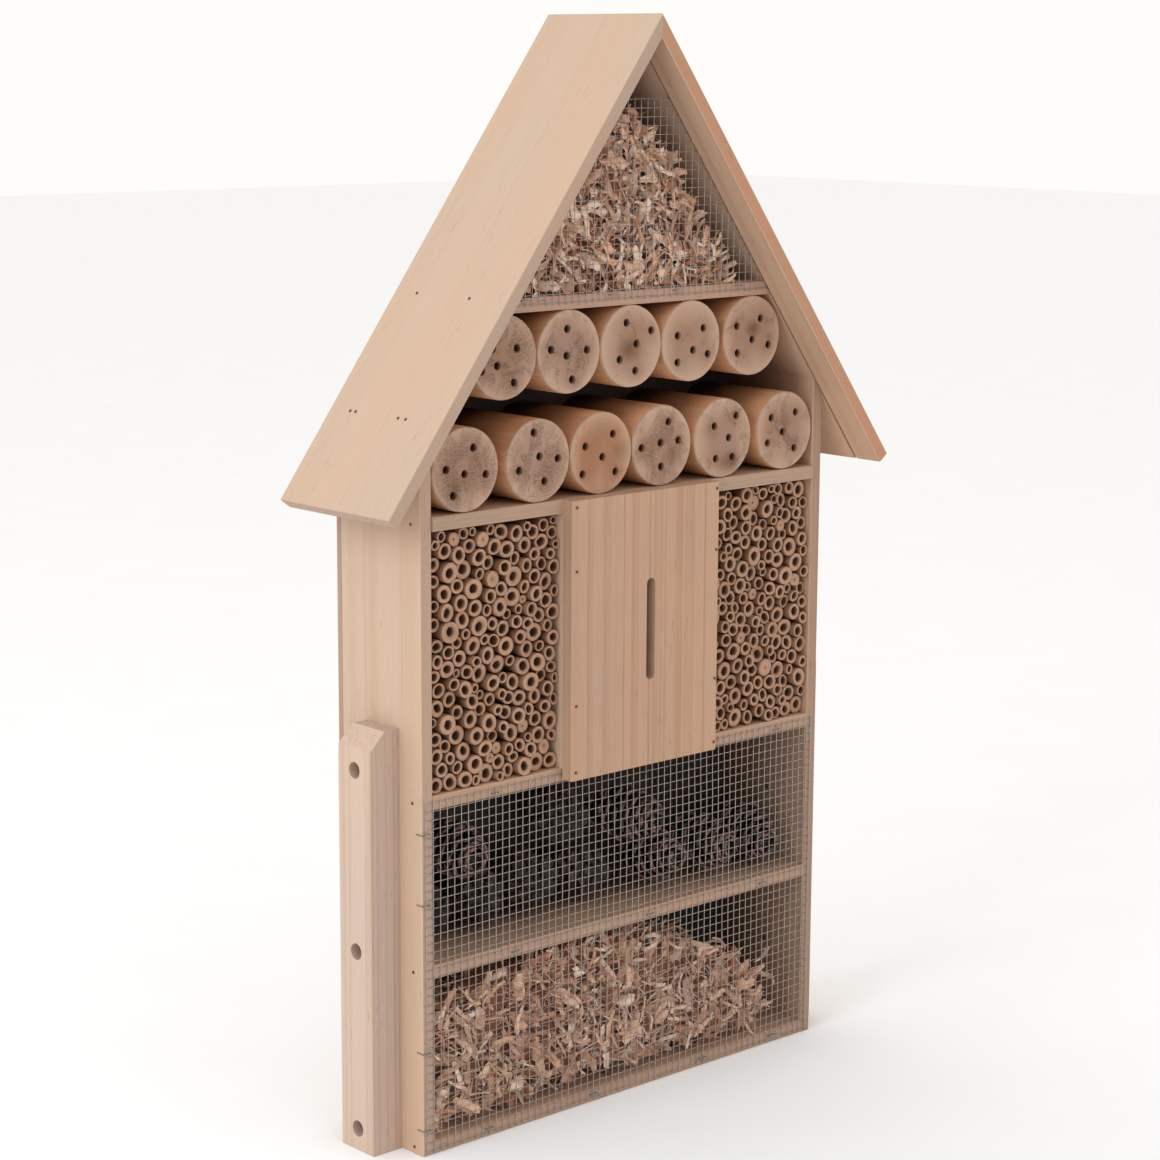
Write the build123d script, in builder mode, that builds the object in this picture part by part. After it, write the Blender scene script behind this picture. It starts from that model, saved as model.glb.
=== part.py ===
from build123d import *
import os
from math import atan2, cos, hypot, sin, sqrt, tan
from random import Random

# An insect hotel: a narrow house-shaped case of softwood boards. From the top it holds wood
# shavings behind wire mesh, two rows of drilled logs, reeds on both sides of a butterfly panel
# with one slot, pine cones and more shavings behind a second mesh.
# Millimetres. X is the width, Y the depth (the front faces -Y), Z is up. The origin is under the
# middle of the roof, on the ground.

# ---------------------------------------------------------------- driving dimensions

case_width = 400.0
case_depth = 88.0
wall_thickness = 10.0
shelf_thickness = 10.0
floor_thickness = 10.0

shavings_bay = 120.0
cone_bay = 113.0
reed_bay = 187.0
log_row_gap = 15.0

ridge_height = 800.0
roof_side_reach = 48.0
roof_rise = 333.0
roof_thickness = 10.0
roof_overhang = 26.0
roof_back_overhang = 1.0
kerf_width = 1.8
kerf_depth = 3.0
kerf_clearance = 0.2

back_thickness = 5.0
divider_thickness = 10.0

panel_width = 148.0
panel_shift = 4.0
panel_thickness = 10.0
panel_cover = 2.0
panel_edge_radius = 1.6
slot_width = 8.6
slot_height = 76.0
slot_shift = 4.0

batten_thickness = 26.0
batten_width = 36.0
batten_height = 309.0
batten_setback = 24.0
batten_chamfer = 13.0
batten_hole_diameter = 12.0
batten_hole_spacing = 132.0
batten_lowest_hole = 16.0

wire = 0.7
mesh_pitch = 6.4
mesh_stub = 1.6
mesh_bottom = 3.0
mesh_top_inset = 1.5
mesh_left_inset = 3.0
mesh_right_inset = 6.5
attic_mesh_lap = 5.0
attic_mesh_open_top = 40.0
mesh_clearance = 0.1

log_diameter = 60.0
log_hole_diameter = 5.6
log_hole_depth = 55.0
log_clearance = 0.5
log_end_chamfer = 0.8

reed_smallest = 7.0
reed_usual = 11.3
reed_largest = 15.8
reed_bore_limit = 5.6
reed_setback = 4.0
reed_gap = 0.1

cone_smallest = 49.0
cone_largest = 56.0
cone_end_gap = 2.0
cone_base_share = 0.7
cone_gap = 0.4
cone_count = 10

heap_gap = 0.8
heap_side_gap = 2.0

nail_diameter = 1.4
nail_head_diameter = 2.2
nail_head_height = 0.4
nail_length = 24.0
nail_tip_cover = 0.7
screw_diameter = 3.0
screw_head_diameter = 6.0
screw_head_height = 0.9
log_screw_length = 28.0
batten_screw_length = 28.0
hole_clearance = 0.05
fixing_inset = 10.0
roof_shelf_nail_insets = (13.0, 18.0)
roof_wall_nail_insets = ((11.0, 19.0), (22.0, 16.0))
panel_nail_insets = (4.0, 6.0)
panel_nail_shares = (0.74, 0.24)
back_nail_share = 0.6
attic_back_nail_share = 0.55
back_nail_heights = {"floor_board": 60.0, "cone_shelf": 60.0, "reed_shelf": 100.0}

staple_wire = 0.8
staple_leg = 6.0
wall_staple_shares = (0.08, 0.29, 0.7, 0.9)
shelf_staple_shares = {
    "floor_board": (-0.75, -0.2, 0.4, 0.8),
    "cone_shelf": (-0.6, 0.1, 0.75),
    "reed_shelf": (-0.7, 0.8),
}
attic_staple_shares = (-0.85, -0.2, 0.35, 0.85)

edge_chamfer = 0.5

# ---------------------------------------------------------------- places worked out from them

half_case = case_width / 2
half_inside = half_case - wall_thickness
log_bay = 2 * log_diameter + log_row_gap

floor_top = floor_thickness
cone_shelf_top = floor_top + shavings_bay + shelf_thickness
reed_shelf_top = cone_shelf_top + cone_bay + shelf_thickness
log_shelf_top = reed_shelf_top + reed_bay + shelf_thickness
attic_shelf_top = log_shelf_top + log_bay + shelf_thickness

roof_depth = roof_overhang + case_depth + back_thickness + roof_back_overhang
roof_front = -roof_depth / 2
front = roof_front + roof_overhang
back = front + case_depth
sheet_back = back + back_thickness

roof_half_span = case_width / 2 + roof_side_reach
roof_slope = atan2(roof_rise, roof_half_span)
roof_length = hypot(roof_rise, roof_half_span)
ceiling_ridge = ridge_height - roof_thickness / cos(roof_slope)

mesh_thickness = 2 * wire
proud = mesh_thickness + mesh_clearance
panel_back = front - proud
panel_left = panel_shift - panel_width / 2
panel_right = panel_shift + panel_width / 2
panel_bottom = reed_shelf_top - shelf_thickness + panel_cover
panel_top = log_shelf_top


def ceiling(x):
    """Height of the roof's underside at a distance x from the middle."""
    return ceiling_ridge - abs(x) * tan(roof_slope)


def half_width_under_roof(z):
    """Half of the clear width under the roof at height z."""
    return (ceiling_ridge - z) / tan(roof_slope)


# ---------------------------------------------------------------- fixings


class Fixing:
    """A nail or screw: its head stands on a face at `head` and its shank runs along `aim`."""

    def __init__(self, head, aim, length, diameter, head_diameter, head_height):
        self.plane = Plane(origin=head, z_dir=aim)
        self.length = length
        self.diameter = diameter
        self.head_diameter = head_diameter
        self.head_height = head_height

    def reach(self):
        """The box that the shank takes up."""
        tip = self.plane.origin + self.plane.z_dir * self.length
        low = [min(a, b) - self.diameter for a, b in zip(tuple(self.plane.origin), tuple(tip))]
        high = [max(a, b) + self.diameter for a, b in zip(tuple(self.plane.origin), tuple(tip))]
        return low, high


def nail(head, aim, length=nail_length):
    return Fixing(head, aim, length, nail_diameter, nail_head_diameter, nail_head_height)


def screw(head, aim, length):
    return Fixing(head, aim, length, screw_diameter, screw_head_diameter, screw_head_height)


def mesh_columns():
    """X of each upright wire of the lower mesh."""
    low = -half_case + mesh_left_inset
    count = int((half_case - mesh_right_inset - low) / mesh_pitch) + 1
    return [low + i * mesh_pitch for i in range(count)]


def mesh_rows():
    """Z of each level wire of the lower mesh."""
    count = int((reed_shelf_top - mesh_top_inset - mesh_bottom) / mesh_pitch) + 1
    return [mesh_bottom + i * mesh_pitch for i in range(count)]


def nearest(value, lines):
    return min(lines, key=lambda line: abs(line - value))


def cell_middle(value, lines):
    """The middle of the mesh cell nearest to a value."""
    return nearest(value, [(a + b) / 2 for a, b in zip(lines, lines[1:])])


shelf_levels = {
    "floor_board": floor_top - floor_thickness / 2,
    "cone_shelf": cone_shelf_top - shelf_thickness / 2,
    "reed_shelf": reed_shelf_top - shelf_thickness / 2,
    "log_shelf": log_shelf_top - shelf_thickness / 2,
}


def side_nails():
    """Nails through the side panels into the ends of the floor and shelves."""
    found = []
    for side in (-1, 1):
        for level in shelf_levels.values():
            for y in (front + fixing_inset, back - fixing_inset):
                found.append(nail((side * half_case, y, level), (-side, 0, 0)))
    return found


def roof_nails():
    """Nails through the roof boards into the attic shelf and the side panels' tops.

    Each stops just short of the far face of the wood it enters.
    """
    found = []
    length = roof_thickness + (wall_thickness / 2 - nail_tip_cover) / sin(roof_slope)
    for side in (-1, 1):
        inward = (-side * sin(roof_slope), 0, -cos(roof_slope))
        shelf_x = half_width_under_roof(attic_shelf_top - shelf_thickness / 2) + roof_thickness * sin(roof_slope)
        wall_x = half_case - wall_thickness / 2 + roof_thickness * sin(roof_slope)
        places = [(shelf_x, front + roof_shelf_nail_insets[0]), (shelf_x, back - roof_shelf_nail_insets[1])]
        places += [(wall_x, front + inset) for inset in roof_wall_nail_insets[0]]
        places += [(wall_x, back - inset) for inset in roof_wall_nail_insets[1]]
        for x, y in places:
            head_z = ridge_height - x * tan(roof_slope)
            found.append(nail((side * x, y, head_z), inward, length))
    return found


def panel_nails():
    """Nails through the butterfly panel into the shelves and dividers behind its edges."""
    found = []
    span = log_shelf_top - reed_shelf_top
    levels = [
        log_shelf_top - shelf_thickness / 2,
        *[reed_shelf_top + span * share for share in panel_nail_shares],
        (mesh_rows()[-1] + reed_shelf_top) / 2,
    ]
    for x in (panel_left + panel_nail_insets[0], panel_right - panel_nail_insets[1]):
        for level in levels:
            column = cell_middle(x, mesh_columns())
            found.append(nail((column, panel_back - panel_thickness, level), (0, 1, 0)))
    return found


def back_nails():
    """Nails through the back sheet into the shelves and side panels."""
    found = []
    for level in shelf_levels.values():
        for x in (-back_nail_share * half_inside, 0.0, back_nail_share * half_inside):
            found.append(nail((x, sheet_back, level), (0, -1, 0)))
    for side in (-1, 1):
        wall_x = side * (half_case - wall_thickness / 2)
        for name, height in back_nail_heights.items():
            found.append(nail((wall_x, sheet_back, shelf_levels[name] + height), (0, -1, 0)))
    attic_level = attic_shelf_top - shelf_thickness / 2
    for share in (-attic_back_nail_share, attic_back_nail_share):
        found.append(nail((share * half_width_under_roof(attic_level), sheet_back, attic_level), (0, -1, 0)))
    return found


def batten_y():
    return front + batten_setback + batten_width / 2


def batten_screws():
    """Screws from inside the case, through the side panels into the battens."""
    found = []
    levels = (floor_top + shavings_bay / 2, cone_shelf_top + cone_bay / 2)
    for side in (-1, 1):
        for level in levels:
            found.append(screw((side * half_inside, batten_y(), level), (side, 0, 0), batten_screw_length))
    return found


# ---------------------------------------------------------------- logs: their places


def share_out(low, high, size, shares):
    """Centres of round pieces in a row from low to high; the spare length goes by shares."""
    count = min(len(shares) - 1, int((high - low) // size))
    spare = high - low - count * size
    total = sum(shares[: count + 1])
    centres = []
    edge = low
    for share in shares[:count]:
        edge += spare * share / total
        centres.append(edge + size / 2)
        edge += size
    return centres


lower_log_z = log_shelf_top + log_diameter / 2
upper_log_z = attic_shelf_top - shelf_thickness - log_diameter / 2
lower_log_shares = (1, 14, 1, 1, 7, 13, 3)
upper_log_shares = (1, 1, 1, 1, 8, 7)
upper_reach = half_width_under_roof(upper_log_z + (log_diameter / 2 + log_clearance) / cos(roof_slope)) + log_diameter / 2

lower_log_x = share_out(-half_inside, half_inside, log_diameter, lower_log_shares)
upper_log_x = share_out(-upper_reach, upper_reach, log_diameter, upper_log_shares)

# The five holes in the end of each log, as shares of the log's radius to the right and up.
lower_log_holes = (
    ((0.25, 0.49), (-0.57, 0.05), (-0.02, -0.10), (0.62, -0.16), (-0.36, -0.57)),
    ((-0.14, 0.68), (0.04, 0.10), (-0.59, -0.18), (0.62, 0.00), (0.20, -0.50)),
    ((0.38, 0.43), (-0.51, 0.20), (0.04, -0.10), (-0.60, -0.46), (0.47, -0.49)),
    ((0.22, 0.57), (-0.68, 0.00), (-0.04, 0.07), (0.56, 0.08), (-0.02, -0.52)),
    ((0.47, 0.52), (-0.30, 0.32), (0.21, -0.01), (-0.24, -0.50), (0.34, -0.50)),
    ((-0.48, 0.36), (0.41, 0.44), (-0.06, -0.03), (-0.60, -0.27), (0.38, -0.48)),
)
upper_log_holes = (
    ((0.39, 0.19), (-0.21, -0.18), (0.30, -0.60), (-0.68, -0.27), (-0.35, 0.22)),
    ((-0.06, 0.54), (-0.57, 0.08), (0.57, 0.01), (-0.08, -0.09), (0.10, -0.66)),
    ((-0.16, 0.57), (0.66, 0.34), (0.17, 0.05), (-0.38, -0.30), (0.14, -0.60)),
    ((-0.46, 0.15), (0.42, 0.29), (0.07, -0.23), (-0.46, -0.50), (0.58, -0.36)),
    ((-0.53, 0.26), (0.31, 0.41), (0.02, -0.10), (-0.50, -0.41), (0.60, -0.27)),
)

logs = {}
for i, x in enumerate(lower_log_x):
    logs[f"lower_log_{i + 1}"] = (x, lower_log_z, lower_log_holes[i])
for i, x in enumerate(upper_log_x):
    logs[f"upper_log_{i + 1}"] = (x, upper_log_z, upper_log_holes[i])


def log_screws():
    """One screw from behind into the middle of each log."""
    return [screw((x, sheet_back, z), (0, -1, 0), log_screw_length) for x, z, holes in logs.values()]


attic_mesh_bottom = attic_shelf_top - attic_mesh_lap
attic_mesh_top = ceiling_ridge - attic_mesh_open_top


def attic_rows():
    """Z of each level wire of the attic mesh."""
    count = int((attic_mesh_top - attic_mesh_bottom) / mesh_pitch) + 1
    return [attic_mesh_bottom + i * mesh_pitch for i in range(count)]


def attic_columns():
    """X of each upright wire of the attic mesh that is long enough to cross two level ones."""
    reach = half_width_under_roof(attic_mesh_bottom + 2 * mesh_pitch)
    count = int(reach / mesh_pitch - 0.5) + 1
    return sorted((i + 0.5) * mesh_pitch * side for side in (-1, 1) for i in range(count))


def staple_places():
    """X and Z of each staple, which straddles one upright wire half way between two level ones."""
    columns = mesh_columns()
    rows = mesh_rows()
    wall_column = nearest(wall_thickness / 2 - half_case, columns)
    places = [(wall_column, cell_middle(share * reed_shelf_top, rows)) for share in wall_staple_shares]
    for name, shares in shelf_staple_shares.items():
        level = cell_middle(shelf_levels[name], rows)
        places += [(nearest(share * half_inside, columns), level) for share in shares]
    attic_level = attic_mesh_bottom + mesh_pitch / 2
    attic_reach = attic_columns()[-1]
    places += [(nearest(share * attic_reach, attic_columns()), attic_level) for share in attic_staple_shares]
    return places


def staple_legs():
    """The two legs of each staple, from the front of the wires into the wood."""
    legs = []
    for x, z in staple_places():
        for shift in (-mesh_pitch / 2, mesh_pitch / 2):
            head = (x + shift, front - mesh_thickness, z)
            legs.append(Fixing(head, (0, 1, 0), mesh_thickness + staple_leg, staple_wire, staple_wire, 0))
    return legs


all_fixings = {
    "side_nails": side_nails(),
    "roof_nails": roof_nails(),
    "panel_nails": panel_nails(),
    "back_nails": back_nails(),
    "batten_screws": batten_screws(),
    "log_screws": log_screws(),
}

# ---------------------------------------------------------------- helpers for the pieces

os.makedirs("parts", exist_ok=True)


def finish(piece, name):
    """Label a finished piece and write it."""
    piece.part.label = name
    export_step(piece.part, f"parts/{name}.step")


def facing(y):
    """A sketch plane seen from the front, at depth y; extruding it goes towards the front."""
    return Plane.XZ.offset(-y)


def drill_fixings(piece):
    """Take out of the piece the holes of every fixing that reaches it."""
    box = piece.part.bounding_box()
    for group in [*all_fixings.values(), staple_legs()]:
        for fixing in group:
            low, high = fixing.reach()
            if low[0] > box.max.X or low[1] > box.max.Y or low[2] > box.max.Z:
                continue
            if high[0] < box.min.X or high[1] < box.min.Y or high[2] < box.min.Z:
                continue
            with Locations(fixing.plane):
                Cylinder(
                    fixing.diameter / 2 + hole_clearance,
                    2 * (fixing.length + hole_clearance),
                    mode=Mode.SUBTRACT,
                )


# ---------------------------------------------------------------- side panels

for side, name in ((-1, "left_side_panel"), (1, "right_side_panel")):
    with BuildPart() as side_panel:
        with BuildSketch(facing(back)):
            with BuildLine():
                Polyline(
                    (side * half_inside, 0),
                    (side * half_case, 0),
                    (side * half_case, ceiling(half_case)),
                    (side * half_inside, ceiling(half_inside)),
                    close=True,
                )
            make_face()
        extrude(amount=case_depth)
        chamfer(side_panel.edges().filter_by(Axis.Z).group_by(Axis.Y)[0], length=edge_chamfer)
        drill_fixings(side_panel)
    finish(side_panel, name)

# ---------------------------------------------------------------- floor and shelves


def shelf(name, top, thickness, front_y):
    """A level board between the side panels."""
    with BuildPart() as board:
        with BuildSketch(Plane.XY.offset(top - thickness)):
            with Locations((0, (front_y + back) / 2)):
                Rectangle(2 * half_inside, back - front_y)
        extrude(amount=thickness)
        chamfer(board.edges().filter_by(Axis.X).group_by(Axis.Y)[0], length=edge_chamfer)
        drill_fixings(board)
    finish(board, name)


shelf("floor_board", floor_top, floor_thickness, front)
shelf("cone_shelf", cone_shelf_top, shelf_thickness, front)
shelf("reed_shelf", reed_shelf_top, shelf_thickness, front)
shelf("log_shelf", log_shelf_top, shelf_thickness, panel_back)

# The attic shelf's ends are cut to the roof slope.
with BuildPart() as attic_shelf:
    attic_shelf_bottom = attic_shelf_top - shelf_thickness
    with BuildSketch(facing(back)):
        with BuildLine():
            Polyline(
                (-half_width_under_roof(attic_shelf_bottom), attic_shelf_bottom),
                (half_width_under_roof(attic_shelf_bottom), attic_shelf_bottom),
                (half_width_under_roof(attic_shelf_top), attic_shelf_top),
                (-half_width_under_roof(attic_shelf_top), attic_shelf_top),
                close=True,
            )
        make_face()
    extrude(amount=case_depth)
    chamfer(attic_shelf.edges().filter_by(Axis.X).group_by(Axis.Y)[0], length=edge_chamfer)
    drill_fixings(attic_shelf)
finish(attic_shelf, "attic_shelf")

# ---------------------------------------------------------------- roof

for side, name in ((-1, "left_roof_board"), (1, "right_roof_board")):
    eave_x = roof_half_span
    eave_z = ridge_height - roof_rise
    with BuildPart() as roof_board:
        with BuildSketch(facing(roof_front + roof_depth)):
            with BuildLine():
                Polyline(
                    (0, ridge_height),
                    (side * eave_x, eave_z),
                    (side * (eave_x - roof_thickness * sin(roof_slope)), eave_z - roof_thickness * cos(roof_slope)),
                    (0, ceiling_ridge),
                    close=True,
                )
            make_face()
        extrude(amount=roof_depth)
        front_edges = roof_board.edges().group_by(Axis.Y)[0].filter_by(
            lambda edge: edge.length > roof_length / 2
        )
        chamfer(front_edges, length=edge_chamfer)
        # A saw kerf along the underside takes the edge of the attic mesh.
        kerf_plane = Plane(
            origin=(0, front - kerf_width / 2 + kerf_clearance / 2, ceiling_ridge),
            x_dir=(side * cos(roof_slope), 0, -sin(roof_slope)),
            z_dir=(side * sin(roof_slope), 0, cos(roof_slope)),
        )
        with BuildSketch(kerf_plane):
            Rectangle(2.2 * roof_length, kerf_width)
        extrude(amount=kerf_depth, mode=Mode.SUBTRACT)
        drill_fixings(roof_board)
    finish(roof_board, name)

# ---------------------------------------------------------------- back sheet

with BuildPart() as back_panel:
    with BuildSketch(facing(sheet_back)):
        with BuildLine():
            Polyline(
                (-half_case, 0),
                (half_case, 0),
                (half_case, ceiling(half_case)),
                (0, ceiling_ridge),
                (-half_case, ceiling(half_case)),
                close=True,
            )
        make_face()
    extrude(amount=back_thickness)
    drill_fixings(back_panel)
finish(back_panel, "back_panel")

# ---------------------------------------------------------------- butterfly chamber

divider_bottom = reed_shelf_top
divider_top = log_shelf_top - shelf_thickness
dividers = {
    "left_divider": panel_left + divider_thickness / 2,
    "right_divider": panel_right - divider_thickness / 2,
}

for name, x in dividers.items():
    with BuildPart() as divider:
        with BuildSketch(Plane.XY.offset(divider_bottom)):
            with Locations((x, (panel_back + back) / 2)):
                Rectangle(divider_thickness, back - panel_back)
        extrude(amount=divider_top - divider_bottom)
        drill_fixings(divider)
    finish(divider, name)

with BuildPart() as butterfly_panel:
    with BuildSketch(facing(panel_back)):
        with Locations((panel_shift, (panel_bottom + panel_top) / 2)):
            Rectangle(panel_width, panel_top - panel_bottom)
            with Locations((slot_shift, 0)):
                SlotOverall(slot_height, slot_width, rotation=90, mode=Mode.SUBTRACT)
    extrude(amount=panel_thickness)
    upright_edges = butterfly_panel.edges().filter_by(Axis.Z).group_by(Axis.Y)[0]
    fillet(upright_edges.group_by(Axis.X)[0] + upright_edges.group_by(Axis.X)[-1], radius=panel_edge_radius)
    drill_fixings(butterfly_panel)
finish(butterfly_panel, "butterfly_panel")

# ---------------------------------------------------------------- battens

for side, name in ((-1, "left_batten"), (1, "right_batten")):
    outer = side * (half_case + batten_thickness)
    with BuildPart() as batten:
        with BuildSketch(Plane.XY):
            with Locations((side * (half_case + batten_thickness / 2), batten_y())):
                Rectangle(batten_thickness, batten_width)
        extrude(amount=batten_height)
        outer_edges = batten.edges().filter_by(Axis.Y).sort_by(Axis.X)
        outer_pair = outer_edges[:2] if side < 0 else outer_edges[-2:]
        chamfer(outer_pair.sort_by(Axis.Z)[-1], length=batten_chamfer)
        hole_plane = Plane(origin=(outer, batten_y(), batten_lowest_hole), z_dir=(side, 0, 0), x_dir=(0, 0, 1))
        with Locations(hole_plane):
            with Locations([(i * batten_hole_spacing, 0) for i in range(3)]):
                Hole(batten_hole_diameter / 2, depth=batten_thickness)
        drill_fixings(batten)
    finish(batten, name)

# ---------------------------------------------------------------- wire mesh

outer_wire_y = front - 1.5 * wire
inner_wire_y = front - 0.5 * wire


def add_wire(start, end):
    """One straight wire of a mesh, from start to end."""
    aim = Vector(*end) - Vector(*start)
    with Locations(Plane(origin=start, z_dir=aim)):
        Cylinder(wire / 2, aim.length, align=(Align.CENTER, Align.CENTER, Align.MIN))


with BuildPart() as lower_mesh:
    columns = mesh_columns()
    rows = mesh_rows()
    for x in columns:
        add_wire((x, outer_wire_y, rows[0] - mesh_stub), (x, outer_wire_y, rows[-1] + mesh_stub))
    for z in rows:
        add_wire((columns[0] - mesh_stub / 2, inner_wire_y, z), (columns[-1] + mesh_stub / 2, inner_wire_y, z))
finish(lower_mesh, "lower_mesh")

# The ends of the attic mesh's wires stand in the roof boards' kerfs.
with BuildPart() as attic_mesh:
    rise_in_kerf = (kerf_depth - mesh_clearance) / cos(roof_slope) - wire
    reach_in_kerf = (kerf_depth - mesh_clearance) / sin(roof_slope) - wire
    for z in attic_rows():
        reach = half_width_under_roof(z) + reach_in_kerf
        add_wire((-reach, inner_wire_y, z), (reach, inner_wire_y, z))
    for x in attic_columns():
        top = min(ceiling(x) + rise_in_kerf, attic_rows()[-1] + mesh_stub)
        add_wire((x, outer_wire_y, attic_mesh_bottom - mesh_stub), (x, outer_wire_y, top))
finish(attic_mesh, "attic_mesh")

with BuildPart() as mesh_staples:
    for x, z in staple_places():
        crown_y = front - mesh_thickness - staple_wire / 2
        with Locations((x, crown_y, z)):
            Box(mesh_pitch + staple_wire, staple_wire, staple_wire)
    for leg in staple_legs():
        with Locations(leg.plane):
            Cylinder(leg.diameter / 2, leg.length, align=(Align.CENTER, Align.CENTER, Align.MIN))
finish(mesh_staples, "mesh_staples")

# ---------------------------------------------------------------- nails and screws

for name, group in all_fixings.items():
    with BuildPart() as fixings:
        for fixing in group:
            with Locations(fixing.plane):
                Cylinder(fixing.diameter / 2, fixing.length, align=(Align.CENTER, Align.CENTER, Align.MIN))
                Cylinder(
                    fixing.head_diameter / 2,
                    fixing.head_height,
                    align=(Align.CENTER, Align.CENTER, Align.MAX),
                )
    finish(fixings, name)

# ---------------------------------------------------------------- logs

for name, (x, z, holes) in logs.items():
    radius = log_diameter / 2
    with BuildPart() as log:
        with BuildSketch(facing(back)):
            with Locations((x, z)):
                Circle(radius)
        extrude(amount=case_depth)
        chamfer(log.edges().group_by(Axis.Y)[0], length=log_end_chamfer)
        with BuildSketch(facing(front)):
            with Locations([(x + right * radius, z + up * radius) for right, up in holes]):
                Circle(log_hole_diameter / 2)
        extrude(amount=-log_hole_depth, mode=Mode.SUBTRACT)
        drill_fixings(log)
    finish(log, name)

# ---------------------------------------------------------------- round fillings


def settle_circles(width, height, radii, gap):
    """Drop circles one by one into a bay; each takes the lowest place that is free.

    Returns (x, z, radius) from the bay's lower left corner. A circle with no place is left out.
    """
    placed = []

    def is_free(x, z, radius):
        if not radius + gap <= x <= width - radius - gap:
            return False
        if not radius + gap <= z <= height - radius - gap:
            return False
        return all(hypot(x - px, z - pz) >= radius + pr + gap for px, pz, pr in placed)

    for radius in radii:
        low = radius + gap
        spots = [(low, low), (width - low, low)]
        reaches = [(px, pz, radius + pr + gap + 1e-6) for px, pz, pr in placed]
        for i, (px, pz, reach) in enumerate(reaches):
            if abs(pz - low) < reach:
                aside = sqrt(reach**2 - (pz - low) ** 2)
                spots += [(px - aside, low), (px + aside, low)]
            for wall in (low, width - low):
                if abs(px - wall) < reach:
                    spots.append((wall, pz + sqrt(reach**2 - (px - wall) ** 2)))
            for qx, qz, other in reaches[:i]:
                apart = hypot(qx - px, qz - pz)
                if apart > reach + other:
                    continue
                along = (reach**2 - other**2 + apart**2) / (2 * apart)
                across = sqrt(max(reach**2 - along**2, 0))
                ux, uz = (qx - px) / apart, (qz - pz) / apart
                for turn in (-across, across):
                    spots.append((px + along * ux - turn * uz, pz + along * uz + turn * ux))
        for x, z in sorted(spots, key=lambda spot: spot[1]):
            if is_free(x, z, radius):
                placed.append((x, z, radius))
                break
    return placed


# ---------------------------------------------------------------- reeds

reed_setbacks = (0.0, 0.35, 0.7, 1.0)


def reeds(name, low_x, high_x, seed):
    """A bay of cut reeds lying on each other, from the reed shelf up to the log shelf."""
    chance = Random(seed)
    bay_area = (high_x - low_x) * reed_bay
    tries = int(1.3 * bay_area / reed_usual**2)
    radii = [chance.triangular(reed_smallest, reed_largest, reed_usual) / 2 for i in range(tries)]
    radii += [reed_smallest / 2] * 12
    groups = {setback: [] for setback in reed_setbacks}
    for x, z, radius in settle_circles(high_x - low_x, reed_bay, radii, reed_gap):
        bore = min(radius * chance.uniform(0.42, 0.52), reed_bore_limit / 2)
        if chance.random() < 0.03:
            bore = 0.5
        groups[chance.choice(reed_setbacks)].append((low_x + x, reed_shelf_top + z, radius, bore))
    with BuildPart() as bundle:
        for setback, members in groups.items():
            with BuildSketch(facing(back)):
                for x, z, radius, bore in members:
                    with Locations((x, z)):
                        Circle(radius)
                        Circle(bore, mode=Mode.SUBTRACT)
            extrude(amount=case_depth - setback * reed_setback)
    finish(bundle, name)


reeds("left_reeds", -half_inside, panel_left, 5)
reeds("right_reeds", panel_right, half_inside, 8)

# ---------------------------------------------------------------- pine cones

cone_chance = Random(3)
cone_radii = [cone_chance.uniform(cone_smallest, cone_largest) / 2 for i in range(cone_count)]
cone_middle_y = (front + back) / 2
cone_tip = case_depth / 2 - cone_end_gap
cone_base = cone_base_share * cone_tip
quarter_pull = 4 / 3 * (sqrt(2) - 1)  # the handle length that makes a Bezier a quarter ellipse

for i, (x, z, radius) in enumerate(settle_circles(2 * half_inside, cone_bay, cone_radii, cone_gap)):
    # An egg shape lying along Y; every other cone points its tip to the back.
    front_reach, back_reach = (cone_tip, cone_base) if i % 2 else (cone_base, cone_tip)
    middle = (x - half_inside, cone_middle_y, cone_shelf_top + z)
    with BuildPart() as cone:
        with BuildSketch(Plane(origin=middle)):
            with BuildLine():
                pull = quarter_pull * radius
                Bezier((0, -front_reach), (pull, -front_reach), (radius, -quarter_pull * front_reach), (radius, 0))
                Bezier((radius, 0), (radius, quarter_pull * back_reach), (pull, back_reach), (0, back_reach))
                Line((0, back_reach), (0, -front_reach))
            make_face()
        revolve(axis=Axis(middle, (0, 1, 0)))
    finish(cone, f"pine_cone_{i + 1}")

# ---------------------------------------------------------------- wood shavings


def heap(name, outline_start, top_points, outline_end):
    """A closed heap: straight at its foot, with a smooth top line, filling the case's depth."""
    with BuildPart() as pile:
        with BuildSketch(facing(back - heap_gap)):
            with BuildLine():
                Polyline(*outline_start, top_points[0])
                Spline(*top_points)
                Polyline(top_points[-1], *outline_end, outline_start[0])
            make_face()
        extrude(amount=case_depth - 2 * heap_gap)
    finish(pile, name)


# The top lines are shares of each bay's clear width (or half width) and height.
heap_left = heap_side_gap - half_inside
heap_width = 2 * half_inside - 2 * heap_side_gap
lower_top_line = ((0, 0.74), (0.14, 0.84), (0.32, 0.93), (0.54, 0.87), (0.7, 0.72), (0.83, 0.5), (0.9, 0.12))
lower_foot = floor_top + heap_gap / 4
lower_points = [(heap_left + u * heap_width, floor_top + v * shavings_bay) for u, v in lower_top_line]
heap(
    "lower_shavings",
    [(heap_left, lower_foot)],
    lower_points,
    [(heap_left + 0.91 * heap_width, lower_foot)],
)

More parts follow.
